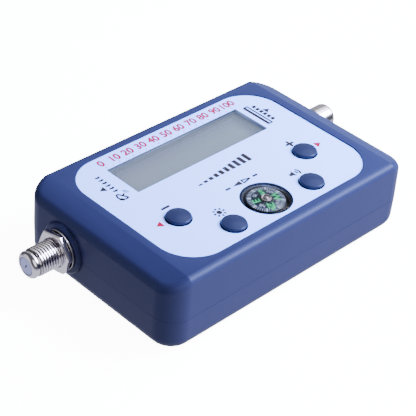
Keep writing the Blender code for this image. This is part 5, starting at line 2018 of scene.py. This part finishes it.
@dataclass
class Studio:
    """A pale floor, soft light and the camera at the photograph's view."""

    camera_place: Point3 = (-0.2657, -0.2422, 0.2771)
    right: Point3 = (0.7156, -0.69522, 0.0678)
    up: Point3 = (0.37672, 0.46585, 0.80066)
    lens: float = 117.26
    sensor: float = 36.0
    floor_glow: float = 12.0
    floor_drop: float = 0.2 * MM
    sky_colour: Colour = (0.98, 0.99, 1.2)
    above: float = 0.12
    below: float = 1.0
    below_from: float = -0.15
    below_full: float = -0.45
    glows: tuple[Glow, ...] = (
        Glow((0.58, 0.2, 0.78), 2.2, 11.0, 22.0, (0.9, 0.9, 1.05)),
        Glow((0.58, -0.1, 0.8), 5.5, 10.0, 20.0, (0.88, 0.88, 1.1)),
        Glow((0.58, -0.46, 0.65), 29.0, 13.5, 20.0, (0.82, 0.86, 1.2)),
        Glow((0.82, 0.53, -0.12), 1.1, 8.0, 18.0, (0.66, 0.82, 1.3)),
        Glow((0.58, -0.66, 0.46), 12.0, 7.0, 12.0, (0.82, 0.86, 1.15)),
        Glow((0.58, 0.62, 0.45), 0.45, 16.0, 34.0),
        Glow((-0.35, -0.75, 0.55), 1.9, 22.0, 30.0),
        Glow((-0.8, 0.53, 0.15), 0.9, 14.0, 32.0),
    )
    boxes: tuple[SoftBox, ...] = (
        SoftBox("key", (0.16, -0.08, 0.19), 0.2, 0.2, 3.8, (0.5, 0.73, 1.17)),
        SoftBox("front", (0.16, -0.53, 0.05), 0.25, 0.25, 8.3, (0.88, 0.92, 1.0)),
        SoftBox("left", (-0.5, 0.15, 0.1), 0.3, 0.2, 1.35, (0.68, 0.84, 1.45)),
    )

    def floor(self) -> None:
        """A wide pale floor, lit from under as a light table is, that the meter stands on."""
        form = bmesh.new()
        bmesh.ops.create_grid(form, x_segments=1, y_segments=1, size=4.0)
        mesh = mesh_from(form)
        finish = MouldedPlastic("studio_floor", (0.9, 0.9, 0.905), 0.8, 2.0, 0.0, 0.004, 400.0, specular=0.1)
        shader = finish.material().node_tree.nodes["Principled BSDF"]
        shader.inputs["Emission Color"].default_value = (1.0, 1.0, 1.0, 1.0)
        shader.inputs["Emission Strength"].default_value = self.floor_glow
        mesh.materials.append(finish.material())
        item = bpy.data.objects.new("floor", mesh)
        item.location = (0.0, 0.0, -self.floor_drop)
        item.visible_glossy = False
        item.visible_diffuse = False
        item.visible_shadow = False
        bpy.context.scene.collection.objects.link(item)

    def sky(self) -> None:
        """A dim room with a paler ground and a few soft glows."""
        world = bpy.data.worlds.new("studio")
        world.use_nodes = True
        bpy.context.scene.world = world
        wiring = Wiring(world.node_tree)
        way = wiring.add("ShaderNodeTexCoord").outputs["Generated"]
        strength = wiring.ramp(wiring.split(way)[2], self.below_full, self.below_from, self.below, self.above)
        light = wiring.point("SCALE", {0: self.sky_colour, "Scale": strength})[0]
        for glow in self.glows:
            near = wiring.point("DOT_PRODUCT", {0: way, 1: Vector(glow.toward).normalized()})["Value"]
            edges = (math.cos(math.radians(glow.faded)), math.cos(math.radians(glow.full)))
            patch = wiring.fade(near, *edges, glow.level)
            tinted = wiring.point("SCALE", {0: glow.colour, "Scale": patch})[0]
            light = wiring.point("ADD", {0: light, 1: tinted})[0]
        world.node_tree.links.new(light, world.node_tree.nodes["Background"].inputs["Color"])

    def stand(self, item: bpy.types.Object, place: Point3, right: Vector, back: Vector) -> None:
        """Put an object at its place.

        Args:
            item: the object.
            place: its place.
            right: the direction of its x axis.
            back: the direction of its z axis.
        """
        turn = Matrix((right, back.cross(right), back)).transposed().to_4x4()
        item.matrix_world = Matrix.Translation(place) @ turn
        bpy.context.scene.collection.objects.link(item)

    def lamp(self, box: SoftBox) -> None:
        """Add one soft light that no surface mirrors.

        Args:
            box: its place, size and power.
        """
        light = bpy.data.lights.new(box.name, "AREA")
        light.shape = "RECTANGLE"
        light.size = box.width
        light.size_y = box.length
        light.energy = box.power
        light.color = box.colour
        item = bpy.data.objects.new(box.name, light)
        item.visible_glossy = False
        item.visible_transmission = False
        back = Vector(box.place).normalized()
        self.stand(item, box.place, Vector((0.0, 1.0, 0.0)).cross(back).normalized(), back)

    def camera(self) -> None:
        """The camera, from the solved place and directions of the photograph."""
        data = bpy.data.cameras.new("camera")
        data.sensor_width = self.sensor
        data.lens = self.lens
        data.clip_start = 0.01
        item = bpy.data.objects.new("camera", data)
        right = Vector(self.right).normalized()
        self.stand(item, self.camera_place, right, right.cross(Vector(self.up)).normalized())
        bpy.context.scene.camera = item

    def build(self) -> None:
        """Set the floor, the light and the camera."""
        self.floor()
        self.sky()
        for box in self.boxes:
            self.lamp(box)
        self.camera()


def main() -> None:
    """Build every sub-assembly in order."""
    logging.basicConfig(level=logging.INFO, format="%(message)s")
    Studio().build()
    bench = Bench()
    layout = Layout()
    ports = Ports()
    CaseShells(layout, ports).build(bench)
    FrontLabel(layout).build(bench)
    Display(layout).build(bench)
    Buttons(layout).build(bench)
    Compass(layout).build(bench)
    ports.build(bench)
    CaseScrews(layout).build(bench)
    Inside().build(bench)
    LOG.info("%d pieces in all", bench.count)


if __name__ == "__main__":
    main()
